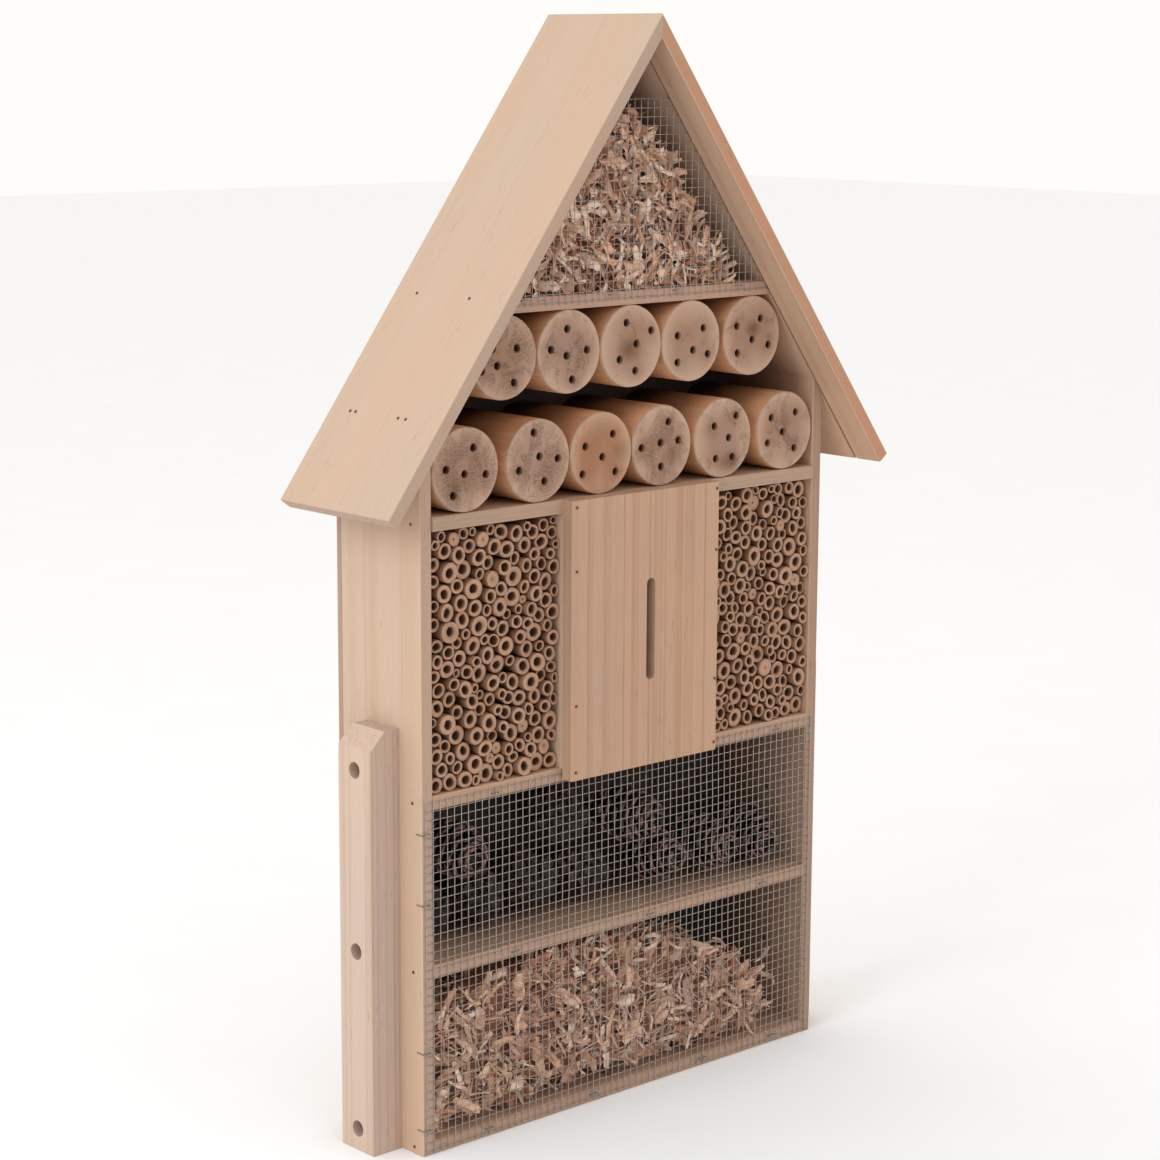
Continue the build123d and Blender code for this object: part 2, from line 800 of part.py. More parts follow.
attic_height = ceiling_ridge - attic_shelf_top
attic_half = half_width_under_roof(attic_shelf_top)
attic_foot = attic_shelf_top + heap_gap / 4
attic_top_line = ((-0.17, 0.69), (0.06, 0.66), (0.26, 0.52), (0.47, 0.33), (0.65, 0.14), (0.73, 0.04))
attic_points = [(u * attic_half, attic_shelf_top + v * attic_height) for u, v in attic_top_line]
shoulder = attic_shelf_top + 0.6 * attic_height
attic_left = [(heap_side_gap - half_width_under_roof(z), z) for z in (attic_foot, shoulder)]
heap("attic_shavings", attic_left, attic_points, [(0.74 * attic_half, attic_foot)])
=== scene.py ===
import bmesh
import bpy
from math import atan2, cos, hypot, pi, radians, sin, sqrt
from random import Random
from mathutils import Euler, Matrix, Vector, noise


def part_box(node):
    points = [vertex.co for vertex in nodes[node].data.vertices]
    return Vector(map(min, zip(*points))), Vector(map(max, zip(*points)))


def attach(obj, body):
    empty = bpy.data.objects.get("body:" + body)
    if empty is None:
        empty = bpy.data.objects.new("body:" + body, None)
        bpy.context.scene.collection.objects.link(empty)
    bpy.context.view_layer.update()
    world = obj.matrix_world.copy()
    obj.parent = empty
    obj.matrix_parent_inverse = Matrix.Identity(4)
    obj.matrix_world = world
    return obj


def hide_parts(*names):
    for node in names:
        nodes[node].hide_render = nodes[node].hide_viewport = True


# The insect hotel: the boards, nails, screws and staples are the frame's own nodes with wood and
# steel materials. The logs, reeds, wire meshes, pine cones and shavings are made here in detail,
# each in the place of its frame node. Metres, with the front facing -Y and Z up.

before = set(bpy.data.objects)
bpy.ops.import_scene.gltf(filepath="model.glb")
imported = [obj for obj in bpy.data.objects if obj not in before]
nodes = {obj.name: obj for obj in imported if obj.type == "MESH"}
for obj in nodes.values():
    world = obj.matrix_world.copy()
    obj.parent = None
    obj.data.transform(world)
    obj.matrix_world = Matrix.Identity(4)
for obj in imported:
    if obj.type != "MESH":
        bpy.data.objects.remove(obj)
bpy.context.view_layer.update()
scene = bpy.context.scene
MM = 0.001

# ---- places read from the frame

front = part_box("left_side_panel")[0].y
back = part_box("left_side_panel")[1].y
inside_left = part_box("left_side_panel")[1].x
inside_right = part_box("right_side_panel")[0].x
cone_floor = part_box("cone_shelf")[1].z
reed_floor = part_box("reed_shelf")[1].z
log_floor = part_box("log_shelf")[1].z
attic_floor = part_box("attic_shelf")[1].z
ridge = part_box("left_roof_board")[1].z
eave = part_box("left_roof_board")[0]
board = 10 * MM
rough_slope = radians(53.3)
roof_slope = atan2(ridge - eave.z - board * cos(rough_slope), -eave.x)
ceiling_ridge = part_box("back_panel")[1].z


def islands(name):
    """The separate solids of a frame node, each a list of its vertices' places."""
    mesh = nodes[name].data
    keys = {}
    owner = []
    for vertex in mesh.vertices:
        key = tuple(round(c * 1e6) for c in vertex.co)
        owner.append(keys.setdefault(key, len(keys)))
    parent = list(range(len(keys)))

    def root(i):
        while parent[i] != i:
            parent[i] = parent[parent[i]]
            i = parent[i]
        return i

    for edge in mesh.edges:
        a, b = (root(owner[v]) for v in edge.vertices)
        parent[a] = b
    groups = {}
    for vertex, own in zip(mesh.vertices, owner):
        groups.setdefault(root(own), []).append(vertex.co.copy())
    return list(groups.values())


def limits(points):
    return Vector(map(min, zip(*points))), Vector(map(max, zip(*points)))


# ---- material helpers


class Look:
    """A material's node tree, built with short calls. Sockets are passed from call to call."""

    def __init__(self, name):
        self.material = bpy.data.materials.new(name)
        self.material.use_nodes = True
        self.tree = self.material.node_tree
        self.shader = self.tree.nodes["Principled BSDF"]
        self.base = None

    def add(self, kind, **settings):
        made = self.tree.nodes.new(kind)
        for key, value in settings.items():
            setattr(made, key, value)
        return made

    def put(self, socket, value):
        if isinstance(value, bpy.types.NodeSocket):
            self.tree.links.new(value, socket)
        else:
            socket.default_value = value

    def maths(self, operation, *values):
        made = self.add("ShaderNodeMath", operation=operation)
        for socket, value in zip(made.inputs, values):
            self.put(socket, value)
        return made.outputs[0]

    def place(self, scale=(1, 1, 1), shift=(0, 0, 0), turn=(0, 0, 0)):
        """Object coordinates in millimetres, turned, then scaled and shifted."""
        source = self.add("ShaderNodeTexCoord").outputs["Object"]
        turned = self.add("ShaderNodeMapping")
        self.put(turned.inputs["Vector"], source)
        turned.inputs["Rotation"].default_value = turn
        turned.inputs["Scale"].default_value = (1000, 1000, 1000)
        scaled = self.add("ShaderNodeMapping")
        self.put(scaled.inputs["Vector"], turned.outputs[0])
        scaled.inputs["Scale"].default_value = scale
        scaled.inputs["Location"].default_value = shift
        return scaled.outputs[0]

    def noise(self, vector, detail, roughness=0.5, distortion=0.0):
        made = self.add("ShaderNodeTexNoise")
        self.put(made.inputs["Vector"], vector)
        made.inputs["Scale"].default_value = 1.0
        made.inputs["Detail"].default_value = detail
        made.inputs["Roughness"].default_value = roughness
        made.inputs["Distortion"].default_value = distortion
        return made.outputs["Fac"]

    def ramp(self, value, *stops):
        """A colour ramp; each stop is (position, colour or grey level)."""
        made = self.add("ShaderNodeValToRGB")
        elements = made.color_ramp.elements
        while len(elements) < len(stops):
            elements.new(1.0)
        for element, (position, tone) in zip(elements, stops):
            element.position = position
            element.color = (*tone, 1) if isinstance(tone, tuple) else (tone, tone, tone, 1)
        self.put(made.inputs["Fac"], value)
        return made.outputs["Color"]

    def mix(self, share, a, b, blend="MIX"):
        made = self.add("ShaderNodeMix", data_type="RGBA", blend_type=blend)
        self.put(made.inputs["Factor"], share)
        for socket, value in ((made.inputs[6], a), (made.inputs[7], b)):
            self.put(socket, (*value, 1) if isinstance(value, tuple) else value)
        return made.outputs[2]

    def attribute(self, name):
        return self.add("ShaderNodeAttribute", attribute_name=name).outputs["Color"]

    def split(self, colour):
        made = self.add("ShaderNodeSeparateColor")
        self.put(made.inputs[0], colour)
        return made.outputs

    def axes(self, vector):
        made = self.add("ShaderNodeSeparateXYZ")
        self.put(made.inputs[0], vector)
        return made.outputs

    def depth(self):
        """0 at the case's front and 1 at its back sheet: how far inside a point lies, as its share of
        painted shade.
        """
        axes = self.axes(self.add("ShaderNodeNewGeometry").outputs["Position"])
        share = self.maths("DIVIDE", self.maths("SUBTRACT", axes[1], front), back - front)
        return self.ramp(share, (0.08, 0.0), (0.38, 0.35), (0.72, 0.85), (1.0, 1.0))

    def facing(self, direction):
        """The surface normal's share along a direction."""
        made = self.add("ShaderNodeVectorMath", operation="DOT_PRODUCT")
        self.put(made.inputs[0], self.add("ShaderNodeTexCoord").outputs["Normal"])
        made.inputs[1].default_value = direction
        return made.outputs["Value"]

    def colour(self, value):
        self.base = value
        self.put(self.shader.inputs["Base Color"], value)

    def dull(self, level):
        self.shader.inputs["Specular IOR Level"].default_value = level

    def rough(self, value):
        self.put(self.shader.inputs["Roughness"], value)

    def bump(self, height, distance, strength):
        made = self.add("ShaderNodeBump")
        made.inputs["Distance"].default_value = distance
        made.inputs["Strength"].default_value = strength
        self.put(made.inputs["Height"], height)
        self.put(self.shader.inputs["Normal"], made.outputs[0])


def turn_to(grain, flat):
    """The rotation that brings the grain direction to X and the board's flat normal to Z."""
    along = Vector(grain).normalized()
    up = Vector(flat).normalized()
    across = up.cross(along)
    return Matrix((along, across, up)).to_euler()


# ---- softwood boards

# The planed face's early and late wood, the factor of painted shade for the deepest wood inside
# the case, and the factor for a sawn edge, partly the sawn wood's own tone and partly painted shade.
PALE = (0.555, 0.408, 0.308)
WARM = (0.44, 0.275, 0.17)
SHADE = (0.30, 0.20, 0.15)
SAWN_AND_SHADE = (0.82, 0.82, 0.85)


def softwood(
    name, grain, flat, seed, pale=PALE, dark=WARM, contrast=0.55, spacing=5.0, pith=60.0, fleck=0.5,
    sawn=SAWN_AND_SHADE, inner=(),
):
    """Planed softwood: growth rings round a pith below the face, fibres, flecks and soft blotches.

    spacing and pith are the ring width and the pith's depth in millimetres. Sawn edges are a little
    darker, partly by the sawn wood's own tone and partly by painted shade. inner lists the sides of
    the board, 1 for the one that flat points to and -1 for the other, that lie inside the case and
    get painted shade that deepens towards its back. It returns the Look.
    """
    chance = Random(seed)
    look = Look(name)
    turn = turn_to(grain, flat)
    shift = tuple(chance.uniform(-900, 900) for i in range(3))
    across = chance.uniform(-25, 25)

    wander = look.noise(look.place((0.0045, 0.02, 0.02), shift, turn), 2.0)
    sway = look.maths("MULTIPLY", look.maths("SUBTRACT", wander, 0.5), 14.0)
    axes = look.axes(look.place(turn=turn))
    centre = chance.uniform(-30, 30)
    sideways = look.maths("ADD", look.maths("ADD", axes[1], centre + across), sway)
    down = look.maths("ADD", axes[2], pith)
    squares = look.maths("ADD", look.maths("POWER", sideways, 2.0), look.maths("POWER", down, 2.0))
    rings = look.maths("DIVIDE", look.maths("SQRT", squares), spacing)
    uneven = look.noise(look.place((0.0, 0.09, 0.09), shift, turn), 2.0)
    ring = look.maths("FRACT", look.maths("ADD", rings, look.maths("MULTIPLY", uneven, 3.0)))
    late = look.ramp(ring, (0.0, 0.0), (0.45, 0.12), (0.82, 0.75), (0.93, 1.0), (1.0, 0.0))
    strength = look.noise(look.place((0.0, 0.05, 0.05), tuple(s + 40 for s in shift), turn), 1.0)
    patchy = look.ramp(strength, (0.3, 0.35), (0.7, 1.0))
    amount = look.maths("MULTIPLY", look.maths("MULTIPLY", late, contrast), patchy)

    fibre = look.noise(look.place((0.03, 1.1, 1.1), shift, turn), 4.0, 0.65)
    blotch = look.noise(look.place((0.006, 0.018, 0.018), shift, turn), 2.0)
    body = look.mix(amount, pale, dark)
    body = look.mix(look.ramp(fibre, (0.3, 0.32), (0.7, 0.0)), body, dark)
    warmth = tuple(c * f for c, f in zip(pale, (1.06, 0.92, 0.80)))
    body = look.mix(look.ramp(blotch, (0.35, 0.0), (0.7, 0.5)), body, warmth)
    dash = look.noise(look.place((0.07, 0.9, 0.9), tuple(s - 70 for s in shift), turn), 1.0, 0.3)
    rare = look.noise(look.place((0.02, 0.03, 0.03), shift, turn), 1.0)
    dashes = look.ramp(dash, (0.70, 0.0), (0.76, fleck))
    marks = look.maths("MULTIPLY", dashes, look.ramp(rare, (0.45, 0.0), (0.6, 1.0)))
    body = look.mix(marks, body, tuple(c * 0.45 for c in dark))
    aim = look.facing(flat)
    # Sawn edges get darker: partly the sawn wood's own tone, partly painted shade.
    edge = look.maths("LESS_THAN", look.maths("ABSOLUTE", aim), 0.5)
    body = look.mix(edge, body, sawn, "MULTIPLY")
    # Painted shade: the board's inner sides darken towards the case's back.
    for side in inner:
        inside = look.maths("GREATER_THAN", look.maths("MULTIPLY", aim, side), 0.5)
        body = look.mix(look.maths("MULTIPLY", inside, look.depth()), body, SHADE, "MULTIPLY")
    look.colour(body)
    look.rough(look.ramp(fibre, (0.3, 0.72), (0.7, 0.58)))
    look.dull(0.25)
    height = look.maths("ADD", look.maths("MULTIPLY", fibre, 0.6), look.maths("MULTIPLY", late, 0.5))
    look.bump(height, 0.12 * MM, 0.6)
    return look


def dress(name, material):
    """Give a frame node its material."""
    slots = nodes[name].data.materials
    if slots:
        for i in range(len(slots)):
            slots[i] = material
    else:
        slots.append(material)


FACE_PALE = (0.58, 0.385, 0.27)
FACE_DARK = (0.38, 0.21, 0.12)
UP = (0, 0, 1)
ACROSS = (1, 0, 0)
INWARD = (0, 1, 0)

slope_left = (cos(roof_slope), 0, sin(roof_slope))
slope_right = (cos(roof_slope), 0, -sin(roof_slope))
normal_left = (-sin(roof_slope), 0, cos(roof_slope))
normal_right = (sin(roof_slope), 0, cos(roof_slope))


def upright(**settings):
    return dict(grain=UP, flat=ACROSS, **settings)


def shelf(pale, contrast, spacing, inner=(1, -1)):
    return dict(
        grain=ACROSS, flat=UP, pale=pale, dark=FACE_DARK, contrast=contrast, spacing=spacing, inner=inner
    )


# Each board's sawn edge factor is partly the wood's own tone and partly painted shade.
boards = {
    "left_roof_board": dict(
        grain=slope_left, flat=normal_left, contrast=0.22, spacing=8.5, pith=45, fleck=0.35, inner=(-1,)
    ),
    "right_roof_board": dict(
        grain=slope_right, flat=normal_right, pale=(0.57, 0.40, 0.29), dark=(0.43, 0.235, 0.13),
        contrast=0.6, spacing=3.2, sawn=(0.85, 0.68, 0.60), inner=(-1,),
    ),
    "left_side_panel": upright(contrast=0.6, spacing=6.5, pith=90, inner=(1,)),
    "right_side_panel": upright(
        pale=(0.54, 0.365, 0.26), dark=(0.40, 0.215, 0.12), spacing=4.5, sawn=(0.72, 0.72, 0.75),
        inner=(-1,),
    ),
    "butterfly_panel": dict(
        grain=UP, flat=INWARD, pale=(0.51, 0.335, 0.237), dark=(0.34, 0.18, 0.105), contrast=1.0,
        spacing=9.5, pith=420, sawn=(1.0, 1.0, 1.0),
    ),
    "left_batten": upright(
        pale=(0.58, 0.45, 0.375), contrast=0.7, spacing=6.0, pith=70, sawn=(0.92, 0.92, 0.94)
    ),
    "right_batten": upright(contrast=0.4, spacing=4.0, pith=70),
    "left_divider": upright(sawn=(0.95, 0.93, 0.93), contrast=0.4, spacing=4.0, inner=(1, -1)),
    "right_divider": upright(contrast=0.4, spacing=4.0, inner=(1, -1)),
    "floor_board": shelf(FACE_PALE, 0.5, 3.6, inner=(1,)),
    "cone_shelf": shelf(FACE_PALE, 0.45, 3.4),
    "reed_shelf": shelf(FACE_PALE, 0.5, 4.2),
    "log_shelf": shelf((0.53, 0.37, 0.26), 0.4, 4.6),
    "attic_shelf": shelf((0.57, 0.37, 0.27), 0.5, 3.8),
}
for i, (name, settings) in enumerate(boards.items()):
    dress(name, softwood("Softwood_" + name, seed=40 + i, **settings).material)


def back_sheet():
    """Thin plywood: pale on its edges and from behind, and near-black on its inner face, painted shade
    for the deep bays.
    """
    look = softwood(
        "Back_sheet", UP, INWARD, 71, (0.54, 0.375, 0.265), (0.38, 0.22, 0.135), 0.5, 13.0, 400
    )
    cloud = look.noise(look.place((0.05, 0.05, 0.03)), 4.0)
    # Painted shade: the inner face is coloured near-black, in cloudy patches.
    stain_and_shade = look.ramp(cloud, (0.3, (0.022, 0.013, 0.010)), (0.7, (0.055, 0.030, 0.021)))
    axes = look.axes(look.add("ShaderNodeTexCoord").outputs["Object"])
    inner_face = look.maths("LESS_THAN", axes[1], back + 0.3 * MM)
    look.colour(look.mix(inner_face, look.base, stain_and_shade))
    return look.material


dress("back_panel", back_sheet())

# ---- steel


def steel(name, colour, dark, roughness, grain_size):
    """Dull metal with small patches of tarnish."""
    look = Look(name)
    look.shader.inputs["Metallic"].default_value = 0.85
    spots = look.noise(look.place((grain_size,) * 3), 4.0, 0.6)
    look.colour(look.mix(look.ramp(spots, (0.4, 0.0), (0.65, 1.0)), colour, dark))
    look.rough(look.ramp(spots, (0.3, roughness - 0.1), (0.7, roughness + 0.15)))
    look.bump(spots, 0.03 * MM, 0.5)
    return look.material


wire_steel = steel("Galvanised_wire", (0.47, 0.435, 0.405), (0.30, 0.27, 0.245), 0.5, 0.8)
staple_steel = steel("Staple_steel", (0.34, 0.33, 0.31), (0.18, 0.16, 0.14), 0.4, 0.9)
nail_steel = steel("Nail_steel", (0.16, 0.12, 0.10), (0.07, 0.045, 0.035), 0.55, 1.3)
screw_steel = steel("Screw_steel", (0.50, 0.46, 0.38), (0.3, 0.26, 0.2), 0.35, 0.7)
for name in ("side_nails", "roof_nails", "panel_nails", "back_nails"):
    dress(name, nail_steel)
for name in ("batten_screws", "log_screws"):
    dress(name, screw_steel)
dress("mesh_staples", staple_steel)

# ---- building meshes


class Shape:
    """Vertices, faces and tones collected for one piece, then made into an object."""

    def __init__(self):
        self.points = []
        self.faces = []
        self.slots = []
        self.tones = []

    def add(self, points, faces, tone=(0.5, 0.5, 0.5)):
        """tone is one colour for all the points, or one for each."""
        first = len(self.points)
        self.points += [tuple(p) for p in points]
        self.tones += list(tone) if isinstance(tone, list) else [tone] * len(points)
        self.faces += [tuple(first + i for i in face) for face in faces]
        self.slots += [0] * len(faces)

    def make(self, name, materials, replaced, origin=None):
        """The finished piece, which rides on the root, replaces a frame node and has a finish."""
        mesh = bpy.data.meshes.new(name)
        centre = origin or Vector((0, 0, 0))
        mesh.from_pydata([tuple(Vector(p) - centre) for p in self.points], [], self.faces)
        for material in materials:
            mesh.materials.append(material)
        for polygon, index in zip(mesh.polygons, self.slots):
            polygon.material_index = index
            polygon.use_smooth = True
        tones = mesh.color_attributes.new("Tone", "FLOAT_COLOR", "POINT")
        for item, tone in zip(tones.data, self.tones):
            item.color = (*tone, 1)
        piece = bpy.data.objects.new(name, mesh)
        piece.location = centre
        scene.collection.objects.link(piece)
        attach(piece, "root")
        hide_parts(replaced)
        return piece


def ring_faces(first, second, count):
    """Quads between two closed rings of points that start at those indices."""
    turns = [(i, (i + 1) % count) for i in range(count)]
    return [(first + a, first + b, second + b, second + a) for a, b in turns]


def tube(shape, path, radius, sides, tone):
    """A closed round tube along a path of points."""
    points = []
    faces = []
    for i, place in enumerate(path):
        ahead = path[min(i + 1, len(path) - 1)] - path[max(i - 1, 0)]
        ahead.normalize()
        side = ahead.cross(Vector((0, 1, 0)) if abs(ahead.y) < 0.9 else Vector((1, 0, 0))).normalized()
        other = ahead.cross(side)
        for k in range(sides):
            turn = 2 * pi * k / sides
            points.append(place + radius * (cos(turn) * side + sin(turn) * other))
        if i:
            faces += ring_faces(sides * (i - 1), sides * i, sides)
    faces.append(tuple(reversed(range(sides))))
    last = sides * (len(path) - 1)
    faces.append(tuple(range(last, last + sides)))
    shape.add(points, faces, tone)


# ---- logs

LOG_SIDES = 96
HOLE_SIDES = 18
HOLE_RADIUS = 2.8 * MM
HOLE_DEPTHS = (0.0, 0.5, 3.0, 20.0, 50.0)
SAWN_FACE = front + 0.05 * MM
STAIN = (0.15, 0.068, 0.036)
TORN = (0.23, 0.115, 0.065)
HOLE_SHADE = (0.10, 0.045, 0.022)
RIM_HIGHLIGHT = (0.58, 0.41, 0.30)
POLE_PALE = (0.72, 0.385, 0.20)
POLE_DARK = (0.52, 0.25, 0.125)


def log_end_look(name, seed, pale, dark, fuzz, pith, spots):
    """Sawn end grain: faint rings round the pith, torn streaky patches, knots and stains, with a painted
    highlight on the rim and painted shade down the holes.
    """
    chance = Random(seed)
    look = Look(name)
    shift = tuple(chance.uniform(-90, 90) for i in range(3))
    flat = look.place((1, 0, 1), (pith[0], 0, pith[1]))
    wobble = look.noise(look.place((0.08, 0.0, 0.08), shift), 2.0)
    distance = look.add("ShaderNodeVectorMath", operation="LENGTH")
    look.put(distance.inputs[0], flat)
    radius = look.maths("ADD", distance.outputs["Value"], look.maths("MULTIPLY", wobble, 7.0))
    ring = look.maths("FRACT", look.maths("DIVIDE", radius, chance.uniform(2.2, 3.4)))
    late = look.ramp(ring, (0.0, 0.0), (0.7, 0.5), (0.92, 1.0), (1.0, 0.0))
    patch = look.noise(look.place((0.075, 0.0, 0.05), shift), 3.0, 0.6, 1.2)
    torn = look.ramp(patch, (0.5 - fuzz, 0.0), (0.62 - fuzz, 1.0))
    tilt = (0, chance.uniform(-0.5, 0.5), 0)
    pores = look.noise(look.place((0.8, 0.4, 1.5), shift, tilt), 2.0, 0.55)
    pits = look.maths("MULTIPLY", look.ramp(pores, (0.48, 0.0), (0.62, 1.0)), torn)
    stain_and_shade = look.noise(look.place((0.05, 0.0, 0.05), tuple(s + 50 for s in shift)), 2.0)
    body = look.mix(look.maths("MULTIPLY", late, 0.32), pale, dark)
    amber = tuple(c * f for c, f in zip(pale, (0.92, 0.72, 0.58)))
    body = look.mix(look.ramp(stain_and_shade, (0.45, 0.0), (0.75, 0.55)), body, amber)
    streak = look.noise(look.place((0.12, 0.0, 0.9), shift, tilt), 2.0, 0.5)
    lines = look.maths("MULTIPLY", look.ramp(streak, (0.45, 0.0), (0.6, 0.75)), torn)
    body = look.mix(lines, body, tuple(c * 0.72 for c in pale))
    body = look.mix(look.maths("MULTIPLY", pits, 0.85), body, TORN)
    fray = look.noise(look.place((0.3, 0.0, 0.3), shift), 3.0, 0.6)
    ragged = look.maths("MULTIPLY", look.maths("SUBTRACT", fray, 0.5), 5.0)
    for spot_x, spot_z, size, depth in spots:
        away = look.add("ShaderNodeVectorMath", operation="LENGTH")
        look.put(away.inputs[0], look.place((1, 0, 1.25), (-spot_x, 0, -spot_z * 1.25)))
        share = look.maths("DIVIDE", look.maths("ADD", away.outputs["Value"], ragged), size * 2)
        body = look.mix(look.ramp(share, (0.2, depth), (0.55, depth * 0.6), (1.0, 0.0)), body, STAIN)
    painted_light = look.split(look.attribute("Tone"))
    # Painted highlight on the log end's rim and chamfer, fading across the end face towards the holes.
    body = look.mix(painted_light[0], body, RIM_HIGHLIGHT)
    # Painted shade down the drilled holes.
    body = look.mix(painted_light[1], body, HOLE_SHADE)
    look.colour(body)
    look.rough(0.8)
    look.dull(0.2)
    height = look.maths("SUBTRACT", look.maths("MULTIPLY", late, 0.12), pits)
    look.bump(height, 0.35 * MM, 0.8)
    return look.material


def log_side_look(name, seed):
    """Turned roundwood: long fibres and light turning marks round the pole, with painted shade darkening
    it towards the case's back.
    """
    chance = Random(seed)
    look = Look(name)
    shift = tuple(chance.uniform(-90, 90) for i in range(3))
    fibre = look.noise(look.place((0.5, 0.02, 0.5), shift), 4.0, 0.6)
    band = look.noise(look.place((0.05, 0.012, 0.05), shift), 2.0)
    turning = look.noise(look.place((0.02, 0.9, 0.02), shift), 2.0)
    body = look.mix(look.ramp(fibre, (0.3, 0.0), (0.7, 0.8)), POLE_PALE, POLE_DARK)
    deep = tuple(c * 0.7 for c in POLE_DARK)
    body = look.mix(look.ramp(band, (0.4, 0.0), (0.7, 0.6)), body, deep)
    # Painted shade: the pole's side darkens towards the case's back.
    look.colour(look.mix(look.depth(), body, SHADE, "MULTIPLY"))
    look.rough(0.62)
    look.bump(look.maths("ADD", fibre, look.maths("MULTIPLY", turning, 0.5)), 0.15 * MM, 0.6)
    return look.material


# Of each log's end: its tone, how much of it is torn, where its pith lies and its knots and
# stains, each with its place from the log's middle, its radius (all in millimetres) and its depth
# of tone.
log_styles = {
    "lower_log_1": ((0.446, 0.286, 0.209), 0.10, (6, 4), [(-9, -13, 6, 0.38)]),
    "lower_log_2": ((0.475, 0.311, 0.229), 0.12, (-14, -12), []),
    "lower_log_3": ((0.456, 0.235, 0.138), -0.05, (3, -6), [(22, 1, 6, 0.45), (-4, 20, 7, 0.25)]),
    "lower_log_4": ((0.456, 0.286, 0.205), 0.07, (-8, 9), [(10, -9, 6, 0.38)]),
    "lower_log_5": ((0.446, 0.277, 0.201), -0.01, (-5, 12), [(8, -21, 8, 0.8), (-12, 6, 5, 0.3)]),
    "lower_log_6": ((0.446, 0.277, 0.198), 0.0, (0, -5), [(0, 7, 5, 0.4)]),
    "upper_log_1": ((0.407, 0.252, 0.178), 0.08, (10, 3), []),
    "upper_log_2": ((0.436, 0.281, 0.209), 0.02, (1, 3), []),
    "upper_log_3": ((0.446, 0.281, 0.201), -0.08, (2, 2), [(-2, -2, 7, 0.75)]),
    "upper_log_4": ((0.446, 0.281, 0.198), -0.06, (-9, -20), []),
    "upper_log_5": ((0.427, 0.265, 0.186), -0.02, (-16, 9), [(1, 5, 5, 0.75)]),
}


def hole_centres(name, centre, radius):
    """The middles of the drilled holes, from the frame node's points on its front face."""
    near = []
    for vertex in nodes[name].data.vertices:
        away = hypot(vertex.co.x - centre.x, vertex.co.z - centre.z)
        if vertex.co.y < front + 0.01 * MM and away < 0.93 * radius:  # on the face, inside its rim
            near.append(Vector((vertex.co.x, 0, vertex.co.z)))
    found = []
    for point in near:
        for group in found:
            if (group[0] - point).length < 1.1 * 2 * HOLE_RADIUS:
                group.append(point)
                break
        else:
            found.append([point])
    return [sum(limits(group), Vector()) / 2 for group in found]


